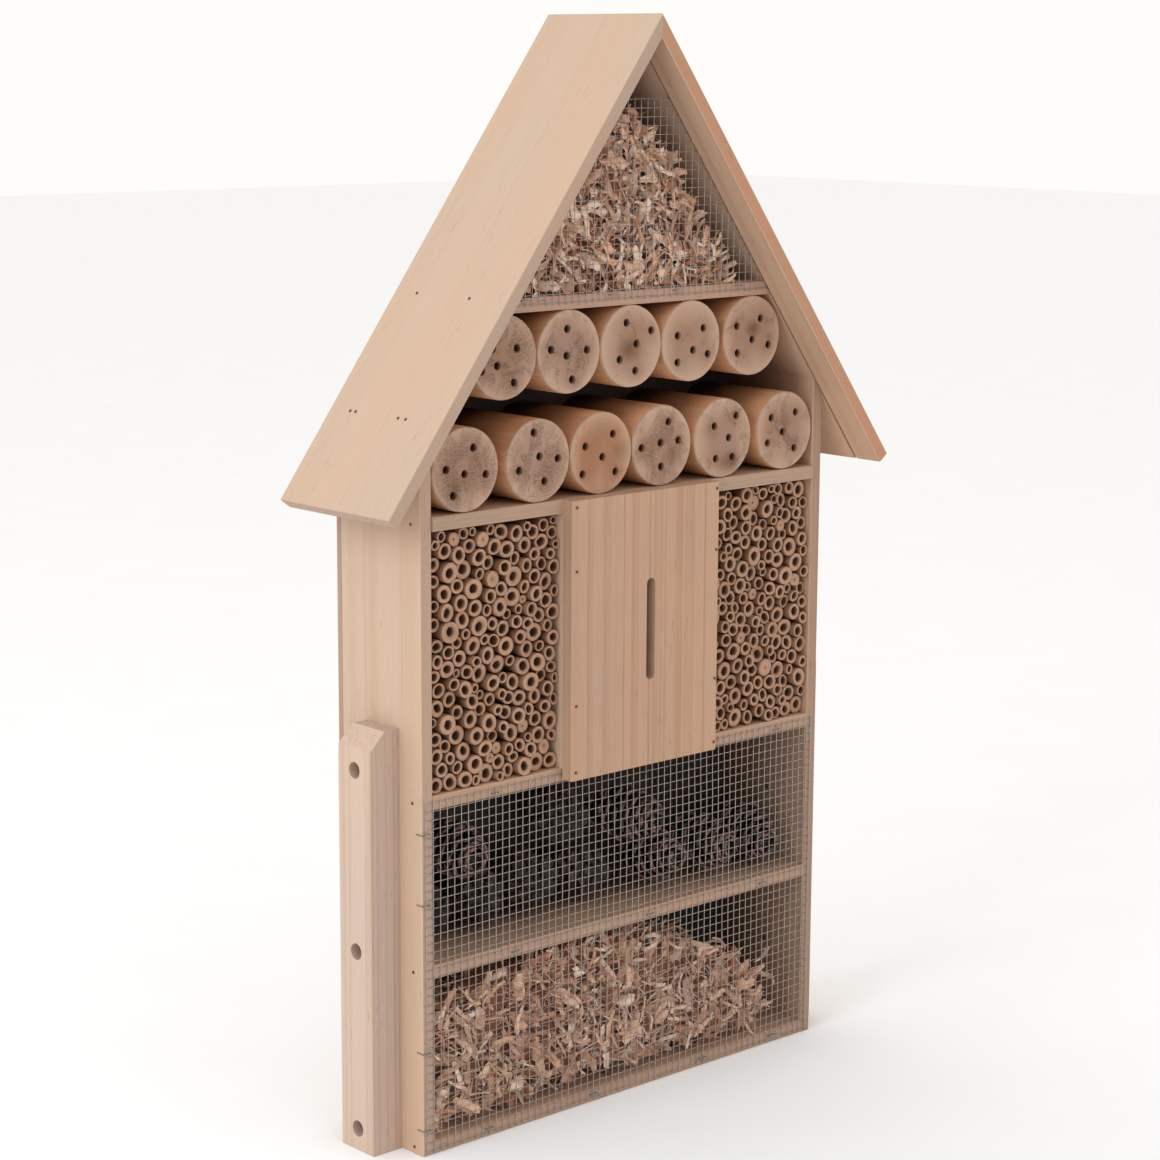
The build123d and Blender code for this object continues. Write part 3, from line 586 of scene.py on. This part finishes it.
def build_log(name, seed):
    """One log: an uneven round outline with a broken rim, and drilled holes with rough edges."""
    low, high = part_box(name)
    centre = Vector(((low.x + high.x) / 2, 0, (low.z + high.z) / 2))
    radius = (high.x - low.x) / 2
    middles = hole_centres(name, centre, radius)
    colour, fuzz, pith, spots = log_styles[name]

    def outline(scale, y, unevenness):
        made = []
        for k in range(LOG_SIDES):
            turn = 2 * pi * k / LOG_SIDES
            push = noise.noise(Vector((3 * cos(turn) + seed, 3 * sin(turn), y * 20)))
            fine = noise.noise(Vector((22 * cos(turn) + seed, 22 * sin(turn), 4)))
            reach = radius * scale * (1 + 0.006 * (push - 1) + unevenness * fine)
            made.append(Vector((centre.x + reach * cos(turn), y, centre.z + reach * sin(turn))))
        return made

    rims = [
        outline(0.982, SAWN_FACE, 0.003),
        outline(0.994, front + 0.35 * MM, 0.003),
        outline(1.0, front + 1.2 * MM, 0.001),
    ]
    rims += [outline(1.0, front + (back - front) * share, 0.0) for share in (0.3, 0.6, 1.0)]
    # Each ring's share of painted highlight on the rim.
    rim_highlights = [0.5, 0.9] + [0.3] * (len(rims) - 2)

    faces = []
    for i in range(len(rims) - 1):
        faces += ring_faces(LOG_SIDES * i, LOG_SIDES * (i + 1), LOG_SIDES)
    faces.append(tuple(range(LOG_SIDES * (len(rims) - 1), LOG_SIDES * len(rims))))
    chamfer = 2 * LOG_SIDES
    tones = [(tone, 0, 0) for tone in rim_highlights for k in range(LOG_SIDES)]
    shape = Shape()
    shape.add([p for ring in rims for p in ring], faces, tones)
    shape.slots = [0] * chamfer + [1] * (len(faces) - chamfer)

    hole_rings = []
    for n, middle in enumerate(middles):
        start = len(shape.points)
        points = []
        tones = []
        for depth in HOLE_DEPTHS:
            flare = 1.1 if depth == 0 else 1.0
            unevenness = 0.10 if depth < 1 else 0.03
            for k in range(HOLE_SIDES):
                turn = 2 * pi * k / HOLE_SIDES
                rough = 1 + unevenness * noise.noise(Vector((4 * cos(turn) + n, 4 * sin(turn), seed)))
                reach = HOLE_RADIUS * flare * rough
                y = SAWN_FACE + depth * MM
                points.append((middle.x + reach * cos(turn), y, middle.z + reach * sin(turn)))
                # The second share is painted shade, darker deeper in the hole.
                tones.append((0.0, min(1.0, 0.25 + depth * 0.3), 0))
        hole_faces = []
        for i in range(len(HOLE_DEPTHS) - 1):
            wall = ring_faces(HOLE_SIDES * i, HOLE_SIDES * (i + 1), HOLE_SIDES)
            hole_faces += [tuple(reversed(f)) for f in wall]
        end = HOLE_SIDES * (len(HOLE_DEPTHS) - 1)
        hole_faces.append(tuple(reversed(range(end, end + HOLE_SIDES))))
        shape.add(points, hole_faces, tones)
        hole_rings.append(range(start, start + HOLE_SIDES))

    filling = fill_with_holes(shape.points, range(LOG_SIDES), hole_rings)
    shape.faces += filling
    shape.slots += [0] * len(filling)
    dark = tuple(c * f for c, f in zip(colour, (0.72, 0.62, 0.52)))
    looks = [
        log_end_look("Log_end_" + name, seed, colour, dark, fuzz, pith, spots),
        log_side_look("Log_side_" + name, seed),
    ]
    piece = shape.make("Log_" + name, looks, name, origin=centre)
    for polygon in piece.data.polygons:
        if abs(polygon.normal.y) > 0.95:
            polygon.use_smooth = False
    return piece


def fill_with_holes(points, outer, holes):
    """Triangles that fill an outline with holes, as indices into points."""
    sheet = bmesh.new()
    rings = [list(ring) for ring in (outer, *holes)]
    made = {index: sheet.verts.new(points[index]) for ring in rings for index in ring}
    edges = []
    for ring in rings:
        for a, b in zip(ring, ring[1:] + ring[:1]):
            edges.append(sheet.edges.new((made[a], made[b])))
    bmesh.ops.triangle_fill(sheet, use_beauty=True, use_dissolve=False, edges=edges, normal=(0, -1, 0))
    back_to = {vertex: index for index, vertex in made.items()}
    faces = []
    for face in sheet.faces:
        if face.normal.y > 0:
            face.normal_flip()
        faces.append(tuple(back_to[v] for v in face.verts))
    sheet.free()
    return faces


for i, name in enumerate(log_styles):
    build_log(name, 11 + i)

# ---- reeds


def reed_look():
    """Cut reed. The Tone attribute gives the wood's tone, and the share of painted shade down a bore or
    in a gap between reeds.
    """
    look = Look("Reed")
    tone = look.split(look.attribute("Tone"))
    fine = look.noise(look.place((0.9, 0.25, 0.9)), 4.0, 0.65)
    coarse = look.noise(look.place((0.16, 0.03, 0.16)), 2.0)
    cut = look.ramp(
        tone[0],
        (0.0, (0.16, 0.06, 0.03)),
        (0.35, (0.34, 0.17, 0.10)),
        (0.7, (0.50, 0.295, 0.20)),
        (1.0, (0.24, 0.125, 0.08)),
    )
    cut = look.mix(look.ramp(fine, (0.35, 0.5), (0.65, 0.0)), cut, (0.40, 0.26, 0.16))
    body = look.mix(look.ramp(coarse, (0.4, 0.0), (0.7, 0.35)), cut, (0.30, 0.145, 0.08))
    # Painted shade down the bores and in the gaps between reeds.
    body = look.mix(tone[1], body, (0.055, 0.022, 0.012))
    look.colour(body)
    look.rough(look.ramp(fine, (0.3, 0.75), (0.7, 0.55)))
    look.dull(0.25)
    look.bump(fine, 0.2 * MM, 0.6)
    return look.material


REED_SIDES = 22
WIDEST_BORE = 0.68
CUT_DEPTH = 2 * MM


def build_reeds(name, seed, look):
    """Every reed of a bay, each with its own outline, wall, cut and tone."""
    chance = Random(seed)
    shape = Shape()
    for solid in islands(name):
        low, high = limits(solid)
        centre = (low + high) / 2
        radius = (high.x - low.x) / 2
        inner = min(hypot(p.x - centre.x, p.z - centre.z) for p in solid)
        bore_radius = min(inner * 1.3, radius * WIDEST_BORE)
        flat = chance.uniform(0.90, 1.0)
        lean = chance.uniform(0, pi)
        slant = Vector((chance.uniform(-0.12, 0.12), chance.uniform(-0.10, 0.10)))
        colour = chance.random()
        squash_bore = chance.uniform(0.78, 1.0)
        bore_shift = Vector((chance.uniform(-1, 1), chance.uniform(-1, 1))) * 0.07 * radius
        start = low.y + 0.15 * MM + abs(slant.x) * radius + abs(slant.y) * radius
        phase = chance.uniform(0, 100)

        def ring(share, depth, bore):
            """One ring of points: bore is 0 on the outer skin and 1 on the bore's wall."""
            made = []
            for k in range(REED_SIDES):
                turn = 2 * pi * k / REED_SIDES
                lump = noise.noise(Vector((1.3 * cos(turn), 1.3 * sin(turn), phase)))
                crisp = noise.noise(Vector((5 * cos(turn), 5 * sin(turn), phase + 9)))
                oval = cos(turn - lean) ** 2
                outer = radius * (1 - 0.05 * abs(lump)) * (1 - (1 - flat) * oval)
                wall = bore_radius * (1 + 0.12 * lump + 0.05 * crisp) * (1 - (1 - squash_bore) * oval)
                reach = (outer * (1 - bore) + wall * bore) * share
                x = reach * cos(turn) + bore_shift.x * bore
                z = reach * sin(turn) + bore_shift.y * bore
                tilt = slant.x * x + slant.y * z + 0.10 * MM * crisp if depth < CUT_DEPTH else 0
                made.append((centre.x + x, start + depth + tilt, centre.z + z))
            return made

        # From the back end over the skin to the cut, and down the bore. Each tone gives the wood's tone
        # and the share of painted shade, which deepens down the bore and back along the skin between the
        # reeds.
        rings = [
            (ring(1.0, back - start - 0.1 * MM, 0), (colour * 0.6, 0.95, 0)),
            (ring(1.0, 12 * MM, 0), (colour * 0.6, 0.85, 0)),
            (ring(1.0, 2.1 * MM, 0), (colour * 0.5, 0.25, 0)),
            (ring(0.985, 0.25 * MM, 0), (colour * 0.3, 0.1, 0)),
            (ring(1.0, 0.0, 0.12), (0.35 + 0.4 * colour, 0.0, 0)),
            (ring(1.0, 0.0, 0.5), (0.5 + 0.35 * colour, 0.0, 0)),
            (ring(1.0, 0.05 * MM, 0.9), (0.55 + 0.4 * colour, 0.06, 0)),
            (ring(1.0, 0.35 * MM, 1.0), (0.5, 0.35, 0)),
            (ring(1.0, 2.5 * MM, 1.0), (0.4, 0.7, 0)),
            (ring(0.97, chance.uniform(14, 30) * MM, 1.0), (0.3, 0.97, 0)),
        ]
        points = [p for made, tone in rings for p in made]
        tones = [tone for made, tone in rings for p in made]
        faces = [tuple(range(REED_SIDES))]
        for i in range(len(rings) - 1):
            band = ring_faces(REED_SIDES * i, REED_SIDES * (i + 1), REED_SIDES)
            faces += [tuple(reversed(f)) for f in band]
        last = REED_SIDES * (len(rings) - 1)
        faces.append(tuple(reversed(range(last, last + REED_SIDES))))
        shape.add(points, faces, tones)
    return shape.make("Reeds_" + name, [look], name)


reed_material = reed_look()
build_reeds("left_reeds", 3, reed_material)
build_reeds("right_reeds", 4, reed_material)

# ---- wire mesh

WIRE_STEP = 4 * MM
WIRE_SIDES = 6


def bay_window(value, edges):
    """0 at the fixed lines and 1 half way between them."""
    for low, high in zip(edges, edges[1:]):
        if low <= value <= high:
            return sin(pi * (value - low) / (high - low))
    return 0.0


def sag(place, xs, zs):
    """How far a point of the mesh stands out of its flat place: out of the plane, and sideways."""
    free = bay_window(place.x, xs) ** 0.5 * bay_window(place.z, zs) ** 0.7
    out = noise.noise(place * 11 + Vector((3, 0, 8)))
    side = noise.noise(place * 16 + Vector((31, 0, 5)))
    rise = noise.noise(place * 14 + Vector((7, 9, 22)))
    drift = 0.35 + 0.65 * free
    return Vector((0.9 * side * drift, -1.6 * free * (0.35 + 0.65 * out), 0.9 * rise * drift)) * MM


def build_mesh(name, xs, zs, seed, slim):
    """The welded mesh: every wire of the frame node, a little bent, with uneven cut ends.

    xs and zs are the lines where boards hold the mesh. slim is the wires' share of their CAD radius.
    """
    chance = Random(seed)
    shape = Shape()
    for solid in islands(name):
        low, high = limits(solid)
        middle = (low + high) / 2
        level = high.x - low.x > high.z - low.z
        length = (high.x - low.x) if level else (high.z - low.z)
        radius = slim * (high.y - low.y) / 2
        count = max(3, int(length / WIRE_STEP))
        path = []
        for i in range(count + 1):
            along = length * i / count - length / 2
            place = middle + (Vector((along, 0, 0)) if level else Vector((0, 0, along)))
            path.append(place + sag(place, xs, zs))
        for end in (0, -1):
            bend = Vector((0, chance.uniform(-0.35, 0.0), 0)) * MM
            path[end] = path[end] + bend
        tube(shape, path, radius, WIRE_SIDES, (chance.random(), 0, 0))
    return shape.make("Wires_" + name, [wire_steel], name)


attic_reach = 120 * MM
lower_lines = (0.0, cone_floor - board / 2, reed_floor - board)
build_mesh("lower_mesh", (inside_left, inside_right), lower_lines, 5, 0.95)
build_mesh("attic_mesh", (-attic_reach, attic_reach), (attic_floor - board / 2, ceiling_ridge), 6, 0.8)

# ---- wood shavings


def shaving_look():
    """Thin softwood. The Tone attribute gives red-brown to pale, and the share of painted shade on a
    shaving or the core.
    """
    look = Look("Shaving")
    tone = look.split(look.attribute("Tone"))
    fine = look.noise(look.place((0.8, 0.8, 0.8)), 4.0, 0.7)
    colour = look.ramp(
        tone[0],
        (0.0, (0.24, 0.08, 0.04)),
        (0.3, (0.56, 0.27, 0.155)),
        (0.6, (0.87, 0.53, 0.36)),
        (0.85, (0.92, 0.65, 0.48)),
        (1.0, (0.93, 0.75, 0.61)),
    )
    colour = look.mix(look.ramp(fine, (0.35, 0.45), (0.65, 0.0)), colour, (0.42, 0.22, 0.12))
    # Painted shade on some flakes and on the heap's core.
    colour = look.mix(tone[1], colour, (0.20, 0.075, 0.04))
    look.colour(colour)
    look.rough(0.72)
    look.dull(0.2)
    look.bump(fine, 0.2 * MM, 0.5)
    return look.material


FLAKE_STEP = 2.8 * MM
FLAKE_THICKNESS = 0.35 * MM
FOOT_SETBACK = 26 * MM
FRONT_SHARE = 0.85


def flake(shape, chance, place, turn, length, width, curl, twist, tone, keep_inside):
    """One shaving: a thin curved strip with ragged sides, from a place and a turn."""
    count = max(4, min(12, int(length / FLAKE_STEP)))
    across = 3
    spot = Vector((0, 0, 0))
    heading = chance.uniform(-0.4, 0.4)
    cup = chance.uniform(-0.25, 0.25)
    grid = []
    for i in range(count + 1):
        share = i / count
        roll = twist * (share - 0.5)
        half = width / 2 * (0.45 + 0.55 * sin(pi * (0.1 + 0.8 * share))) * chance.uniform(0.78, 1.0)
        drift = chance.uniform(-0.12, 0.12) * width
        row = []
        for j in range(across + 1):
            v = 2 * j / across - 1
            rise = cup * width * (v * v - 0.5) + chance.uniform(-0.05, 0.05) * width
            side = drift + v * half * cos(roll)
            lift = v * half * sin(roll) + cos(heading) * rise
            row.append(spot + Vector((-sin(heading) * rise, side, lift)))
        grid.append(row)
        spot = spot + Vector((cos(heading), 0, sin(heading))) * (length / count)
        heading += length / count / (curl * (0.7 + 0.9 * share))
    middle = (grid[0][1] + grid[count // 2][1] + grid[-1][1]) / 3
    grid = [[keep_inside(turn @ (p - middle) + place) for p in row] for row in grid]
    top = []
    under = []
    for i, row in enumerate(grid):
        for j, point in enumerate(row):
            along = grid[min(i + 1, count)][j] - grid[max(i - 1, 0)][j]
            side = row[min(j + 1, across)] - row[max(j - 1, 0)]
            normal = along.cross(side)
            normal = normal.normalized() if normal.length > 1e-12 else Vector((0, 1, 0))
            top.append(point + normal * FLAKE_THICKNESS / 2)
            under.append(point - normal * FLAKE_THICKNESS / 2)
    wide = across + 1
    size = len(top)
    faces = []
    for i in range(count):
        for j in range(across):
            a = i * wide + j
            quad = (a, a + wide, a + wide + 1, a + 1)
            faces.append(quad)
            faces.append(tuple(size + k for k in reversed(quad)))
        near, far = i * wide, (i + 1) * wide
        for a, b in ((far, near), (near + across, far + across)):
            faces.append((a, b, size + b, size + a))
    for a in range(across):
        faces.append((a, a + 1, size + a + 1, size + a))
        b = count * wide + a
        faces.append((b + 1, b, size + b, size + b + 1))
    shape.add(top + under, faces, tone)


def heap_profile(name):
    """The heap's top height as a function of x, from the frame node's front edge."""
    points = {}
    low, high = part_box(name)
    for vertex in nodes[name].data.vertices:
        if vertex.co.y < low.y + 0.1 * MM:
            x = round(vertex.co.x, 5)
            points[x] = max(points.get(x, 0), vertex.co.z)
    line = sorted(points.items())

    def top(x):
        for (xa, za), (xb, zb) in zip(line, line[1:]):
            if xa <= x <= xb:
                return za + (zb - za) * (x - xa) / (xb - xa)
        return low.z

    return top, low, high


def foot_setback(is_attic, height, reach):
    """How far the foot of the lower heap stands back, below that height."""
    return 0.0 if is_attic else max(0.0, 1 - height / reach) * FOOT_SETBACK


def build_shavings(name, seed, count, size, loose):
    """A heap of curled shavings over a dark lumpy core, with a few single ones at listed places.

    A loose one has its place as shares of the heap's width and height, its depth behind the case's
    front, and its length, width and curl radius in millimetres.
    """
    chance = Random(seed)
    top, low, high = heap_profile(name)
    shape = Shape()
    is_attic = low.z > log_floor

    def keep_inside(p):
        x = p.x
        z = max(p.z, low.z + 0.1 * MM)
        if is_attic:
            room = (ceiling_ridge - 1.5 * MM - z) * cos(roof_slope) / sin(roof_slope)  # to the roof
            x = max(-room, min(room, x))
        else:
            x = max(inside_left + 1 * MM, min(inside_right - 1 * MM, x))
            z = min(z, cone_floor - board - 0.6 * MM)
        y = max(front + 0.7 * MM, min(back - 0.8 * MM, p.y))
        return Vector((x, y, z))

    core(shape, top, low, high, seed, is_attic, keep_inside)
    made = 0
    while made < count:
        x = chance.uniform(low.x, high.x)
        height = top(x) - low.z
        if chance.random() > height / (high.z - low.z) + 0.05 or height < 3 * MM:
            continue
        if chance.random() < FRONT_SHARE:
            z = low.z + chance.uniform(0.0, 1.02) * height
            foot = foot_setback(is_attic, z - low.z, 16 * MM)
            y = front + foot + chance.uniform(1.5, 7 + 8 * chance.random()) * MM
        else:
            y = chance.uniform(front + 8 * MM, back - 8 * MM)
            z = low.z + height + chance.uniform(-3, 2) * MM
        add_flake(shape, chance, Vector((x, y, z)), size, keep_inside)
        made += 1
    for share_x, share_z, y, length, width, curl in loose:
        x = low.x + share_x * (high.x - low.x)
        z = low.z + share_z * (high.z - low.z)
        length, width, curl = (value * MM for value in (length, width, curl))
        spot = Vector((x, front + y * MM, z))
        turn = facing_turn(chance)
        flake(shape, chance, spot, turn, length, width, curl, 0.4, (0.9, 0, 0), keep_inside)
    return shape.make("Curls_" + name, [shaving_material], name)


def facing_turn(chance):
    """A rotation that shows a flake's wide side to the front, more or less."""
    spin = Euler((0, 0, chance.uniform(-pi, pi))).to_matrix()
    stand = Euler((pi / 2, 0, 0)).to_matrix()
    tilt = Euler((chance.gauss(0, 0.6), 0, chance.gauss(0, 0.6))).to_matrix()
    return tilt @ stand @ spin


def add_flake(shape, chance, place, size, keep_inside):
    """One shaving of a random kind: a wide flake, a long curl or a fibre, sized in millimetres."""
    kind = chance.random()
    if kind < 0.34:
        length, width, curl = chance.uniform(12, 30), chance.uniform(4, 9), chance.uniform(8, 45)
    elif kind < 0.64:
        length, width, curl = chance.uniform(18, 40), chance.uniform(2.2, 5), chance.uniform(8, 26)
    else:
        length, width, curl = chance.uniform(10, 30), chance.uniform(0.5, 1.7), chance.uniform(10, 60)
    tone = min(1.0, max(0.0, chance.gauss(0.66, 0.28)))
    # A few flakes get painted shade, chosen at random.
    shade = chance.choice((0, 0, 0, 0, 0.2, 0.5))
    twist = chance.uniform(-1.3, 1.3)
    length, width, curl = (value * size * MM for value in (length, width, curl))
    turn = facing_turn(chance)
    flake(shape, chance, place, turn, length, width, curl, twist, (tone, shade, 0), keep_inside)


def core(shape, top, low, high, seed, is_attic, keep_inside):
    """The heap's inside: a closed lumpy block set back from the front and under the curls, dark
    red-brown with painted shade for the gaps between them.
    """
    columns = 60
    rows = 22
    depth = 13 * MM
    points = []
    for layer in (0, 1):
        for i in range(columns + 1):
            x = low.x + (high.x - low.x) * (0.006 + 0.988 * i / columns)
            height = max(1 * MM, top(x) - low.z - 4 * MM)
            for j in range(rows + 1):
                z = low.z + height * j / rows
                lump = noise.noise(Vector((x * 90, z * 90, seed)))
                lump += 0.5 * noise.noise(Vector((x * 260, z * 260, seed)))
                foot = foot_setback(is_attic, z - low.z, 18 * MM)
                y = front + depth + foot + 4.5 * MM * lump if layer == 0 else back - 1 * MM
                points.append(keep_inside(Vector((x, y, z))))
    wide = rows + 1
    size = wide * (columns + 1)
    faces = []
    for i in range(columns):
        for j in range(rows):
            a = i * wide + j
            quad = (a, a + wide, a + wide + 1, a + 1)
            faces.append(quad)
            faces.append(tuple(size + k for k in reversed(quad)))
        for j in (0, rows):
            a = i * wide + j
            edge = (a, a + wide, size + a + wide, size + a)
            faces.append(edge if j else tuple(reversed(edge)))
    for i in (0, columns):
        for j in range(rows):
            a = i * wide + j
            edge = (a, a + 1, size + a + 1, size + a)
            faces.append(edge if i == 0 else tuple(reversed(edge)))
    # The core: dark red-brown with painted shade.
    shape.add(points, faces, (0.15, 0.35, 0))


shaving_material = shaving_look()
CURLS = 900
lower_loose = ((0.99, 0.55, 6, 26, 5, 40), (0.40, 0.98, 3, 22, 6, 9), (1.02, 0.35, 8, 18, 5, 7))
attic_loose = (
    (0.62, 0.72, 4, 30, 9, 60), (0.72, 0.27, 2.5, 42, 7, 90),
    (0.60, 0.16, 3, 30, 9, 80), (0.52, 0.95, 5, 20, 3, 25),
)
build_shavings("lower_shavings", 21, int(CURLS * 1.35), 1.1, lower_loose)
build_shavings("attic_shavings", 22, CURLS, 1.3, attic_loose)

# ---- pine cones


def cone_look():
    """Dry cone scales: dark, redder and lighter towards the tips, and near-black towards the roots and
    on the core as painted shade between the scales.
    """
    look = Look("Pine_cone")
    tone = look.split(look.attribute("Tone"))
    fine = look.noise(look.place((0.5, 0.5, 0.5)), 4.0, 0.6)
    # Painted shade: near-black towards the scales' roots, where shade falls between them; the lighter,
    # redder tips are the scales' own colour.
    colour = look.ramp(
        tone[0],
        (0.0, (0.005, 0.003, 0.003)),
        (0.55, (0.018, 0.009, 0.008)),
        (0.85, (0.085, 0.040, 0.034)),
        (1.0, (0.34, 0.17, 0.14)),
    )
    colour = look.mix(look.ramp(fine, (0.35, 0.6), (0.65, 0.0)), colour, (0.035, 0.018, 0.014))
    look.colour(colour)
    look.rough(0.7)
    look.bump(fine, 0.3 * MM, 0.6)
    return look.material


CONE_SCALES = 86
SCALE_THICKNESS = 1.8 * MM
GOLDEN_ANGLE = radians(137.508)
# A scale's sections from root to tip: share of the length, of the width and of the thickness.
SCALE_SECTIONS = (
    (0.0, 0.30, 0.5), (0.35, 0.62, 0.8), (0.7, 0.95, 1.0), (0.92, 0.86, 1.5), (1.0, 0.35, 0.9)
)


def cone_scale(shape, chance, root, outward, along, length, width):
    """One scale: a thick spoon that widens to its end, where a blunt boss stands up."""
    side = outward.cross(along).normalized()
    points = []
    tones = []
    for share, wide, thick in SCALE_SECTIONS:
        spread = width * wide / 2
        lift = 0.18 * length * share * share
        middle = root + outward * length * share + along * lift
        tone = (min(1.0, share * share * chance.uniform(0.85, 1.1)), 0, 0)
        for u, v in ((-1, 0), (-0.5, 0.5), (0.5, 0.5), (1, 0), (0.5, -0.5), (-0.5, -0.5)):
            cup = 0.25 * spread * u * u
            points.append(middle + side * spread * u + along * (SCALE_THICKNESS * thick * v + cup))
            tones.append(tone)
    faces = [tuple(reversed(range(6)))]
    for i in range(len(SCALE_SECTIONS) - 1):
        faces += ring_faces(6 * i, 6 * (i + 1), 6)
    last = 6 * (len(SCALE_SECTIONS) - 1)
    faces.append(tuple(range(last, last + 6)))
    shape.add(points, faces, tones)


def build_cone(name, seed):
    """One open pine cone in its frame node's place: a core and spiralling scales."""
    chance = Random(seed)
    low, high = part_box(name)
    middle_y = (front + back) / 2
    centre = Vector(((low.x + high.x) / 2, middle_y, (low.z + high.z) / 2))
    radius = (high.x - low.x) / 2
    to_front = middle_y - low.y
    to_back = high.y - middle_y
    aim = -1 if to_front > to_back else 1
    tip_reach = max(to_front, to_back)
    base_reach = min(to_front, to_back)
    tilt = Euler((chance.uniform(-0.16, 0.16), 0, chance.uniform(-0.3, 0.3))).to_matrix()
    axis = tilt @ Vector((0, aim, 0))
    spin_from = axis.cross(Vector((0, 0, 1))).normalized()
    other = axis.cross(spin_from).normalized()
    shape = Shape()

    def body(t):
        """Distance along the axis and the outer radius at share t from base to tip."""
        along = -base_reach * 0.92 + (base_reach + tip_reach) * 0.92 * t
        swell = sqrt(max(0.0, 1 - (along / (tip_reach if along > 0 else base_reach)) ** 2))
        return along, radius * swell

    core_points = []
    core_faces = []
    sides = 14
    for i in range(9):
        along, reach = body(i / 8)
        for k in range(sides):
            turn = 2 * pi * k / sides
            out = spin_from * cos(turn) + other * sin(turn)
            core_points.append(centre + axis * along * 0.9 + out * max(1 * MM, reach * 0.42))
        if i:
            core_faces += ring_faces(sides * (i - 1), sides * i, sides)
    core_faces.append(tuple(reversed(range(sides))))
    core_faces.append(tuple(range(sides * 8, sides * 9)))
    # The core is near-black: painted shade inside the cone.
    shape.add(core_points, core_faces, (0.0, 0, 0))

    for i in range(CONE_SCALES):
        t = 0.03 + 0.94 * i / CONE_SCALES
        along, reach = body(t)
        turn = i * GOLDEN_ANGLE + chance.uniform(-0.06, 0.06)
        out = spin_from * cos(turn) + other * sin(turn)
        opening = radians(72 - 46 * t + chance.uniform(-11, 11))
        outward = (out * sin(opening) + axis * cos(opening)).normalized()
        upward = (axis * sin(opening) - out * cos(opening)).normalized()
        length = max(5 * MM, reach * 0.66)
        root = centre + axis * (along * 0.86) + out * reach * 0.30
        end = (root + outward * length) - centre
        rise = end.dot(axis)
        from_axis = (end - axis * rise).length
        limit = max(4 * MM, radius * 0.985)
        if from_axis > limit:
            length *= limit / from_axis
        cone_scale(shape, chance, root, outward, upward, length, max(7 * MM, reach * 0.58))
    return shape.make("Cone_" + name, [cone_material], name)


cone_material = cone_look()
for name in sorted(nodes):
    if name.startswith("pine_cone"):
        build_cone(name, 60 + int(name.split("_")[-1]))

# ---- floor, light and camera


def stage_floor():
    """A plain pale floor, far larger than the object."""
    mesh = bpy.data.meshes.new("Floor")
    half = 12.0
    corners = [(-half, -half, 0), (half, -half, 0), (half, half, 0), (-half, half, 0)]
    mesh.from_pydata(corners, [], [(0, 1, 2, 3)])
    look = Look("Floor_paint")
    look.rough(0.9)
    grain = look.noise(look.place((0.01, 0.01, 0.01)), 2.0)
    look.colour(look.ramp(grain, (0.0, 0.92), (1.0, 0.95)))
    mesh.materials.append(look.material)
    floor = bpy.data.objects.new("Floor", mesh)
    floor.location.z = -0.1 * MM
    scene.collection.objects.link(floor)


stage_floor()
world = bpy.data.worlds.new("Studio")
scene.world = world
world.use_nodes = True
background = world.node_tree.nodes["Background"]
background.inputs["Color"].default_value = (1.0, 0.98, 0.96, 1)
background.inputs["Strength"].default_value = 1.0
key = bpy.data.lights.new("Key", "AREA")
key.size = 1.8
key.energy = 44
key.color = (0.80, 0.92, 1.0)
key_place = Vector((-3.0, -0.3, 1.9))
lamp = bpy.data.objects.new("Key", key)
lamp.location = key_place
lamp.rotation_euler = (Vector((0, 0, 0.4)) - key_place).to_track_quat("-Z", "Y").to_euler()
scene.collection.objects.link(lamp)

# The photograph's viewpoint: focal length in millimetres, the angles it looks along, and the
# distance to a point near the object's middle.
LENS = 86.3
YAW = radians(42.42)
PITCH = radians(10.67)
ROLL = radians(0.29)
DISTANCE = 2.0605
TARGET = Vector((-0.0131, 0.0087, 0.3887))

camera_data = bpy.data.cameras.new("Camera")
camera_data.lens = LENS
camera_data.sensor_width = 36.0
camera_data.clip_end = 50
camera = bpy.data.objects.new("Camera", camera_data)
look_along = Vector((sin(YAW) * cos(PITCH), cos(YAW) * cos(PITCH), -sin(PITCH)))
camera.location = TARGET - look_along * DISTANCE
camera.rotation_mode = "QUATERNION"
level = look_along.to_track_quat("-Z", "Y")
camera.rotation_quaternion = level @ Euler((0, 0, ROLL)).to_quaternion()
scene.collection.objects.link(camera)
scene.camera = camera
scene.view_settings.view_transform = "Standard"
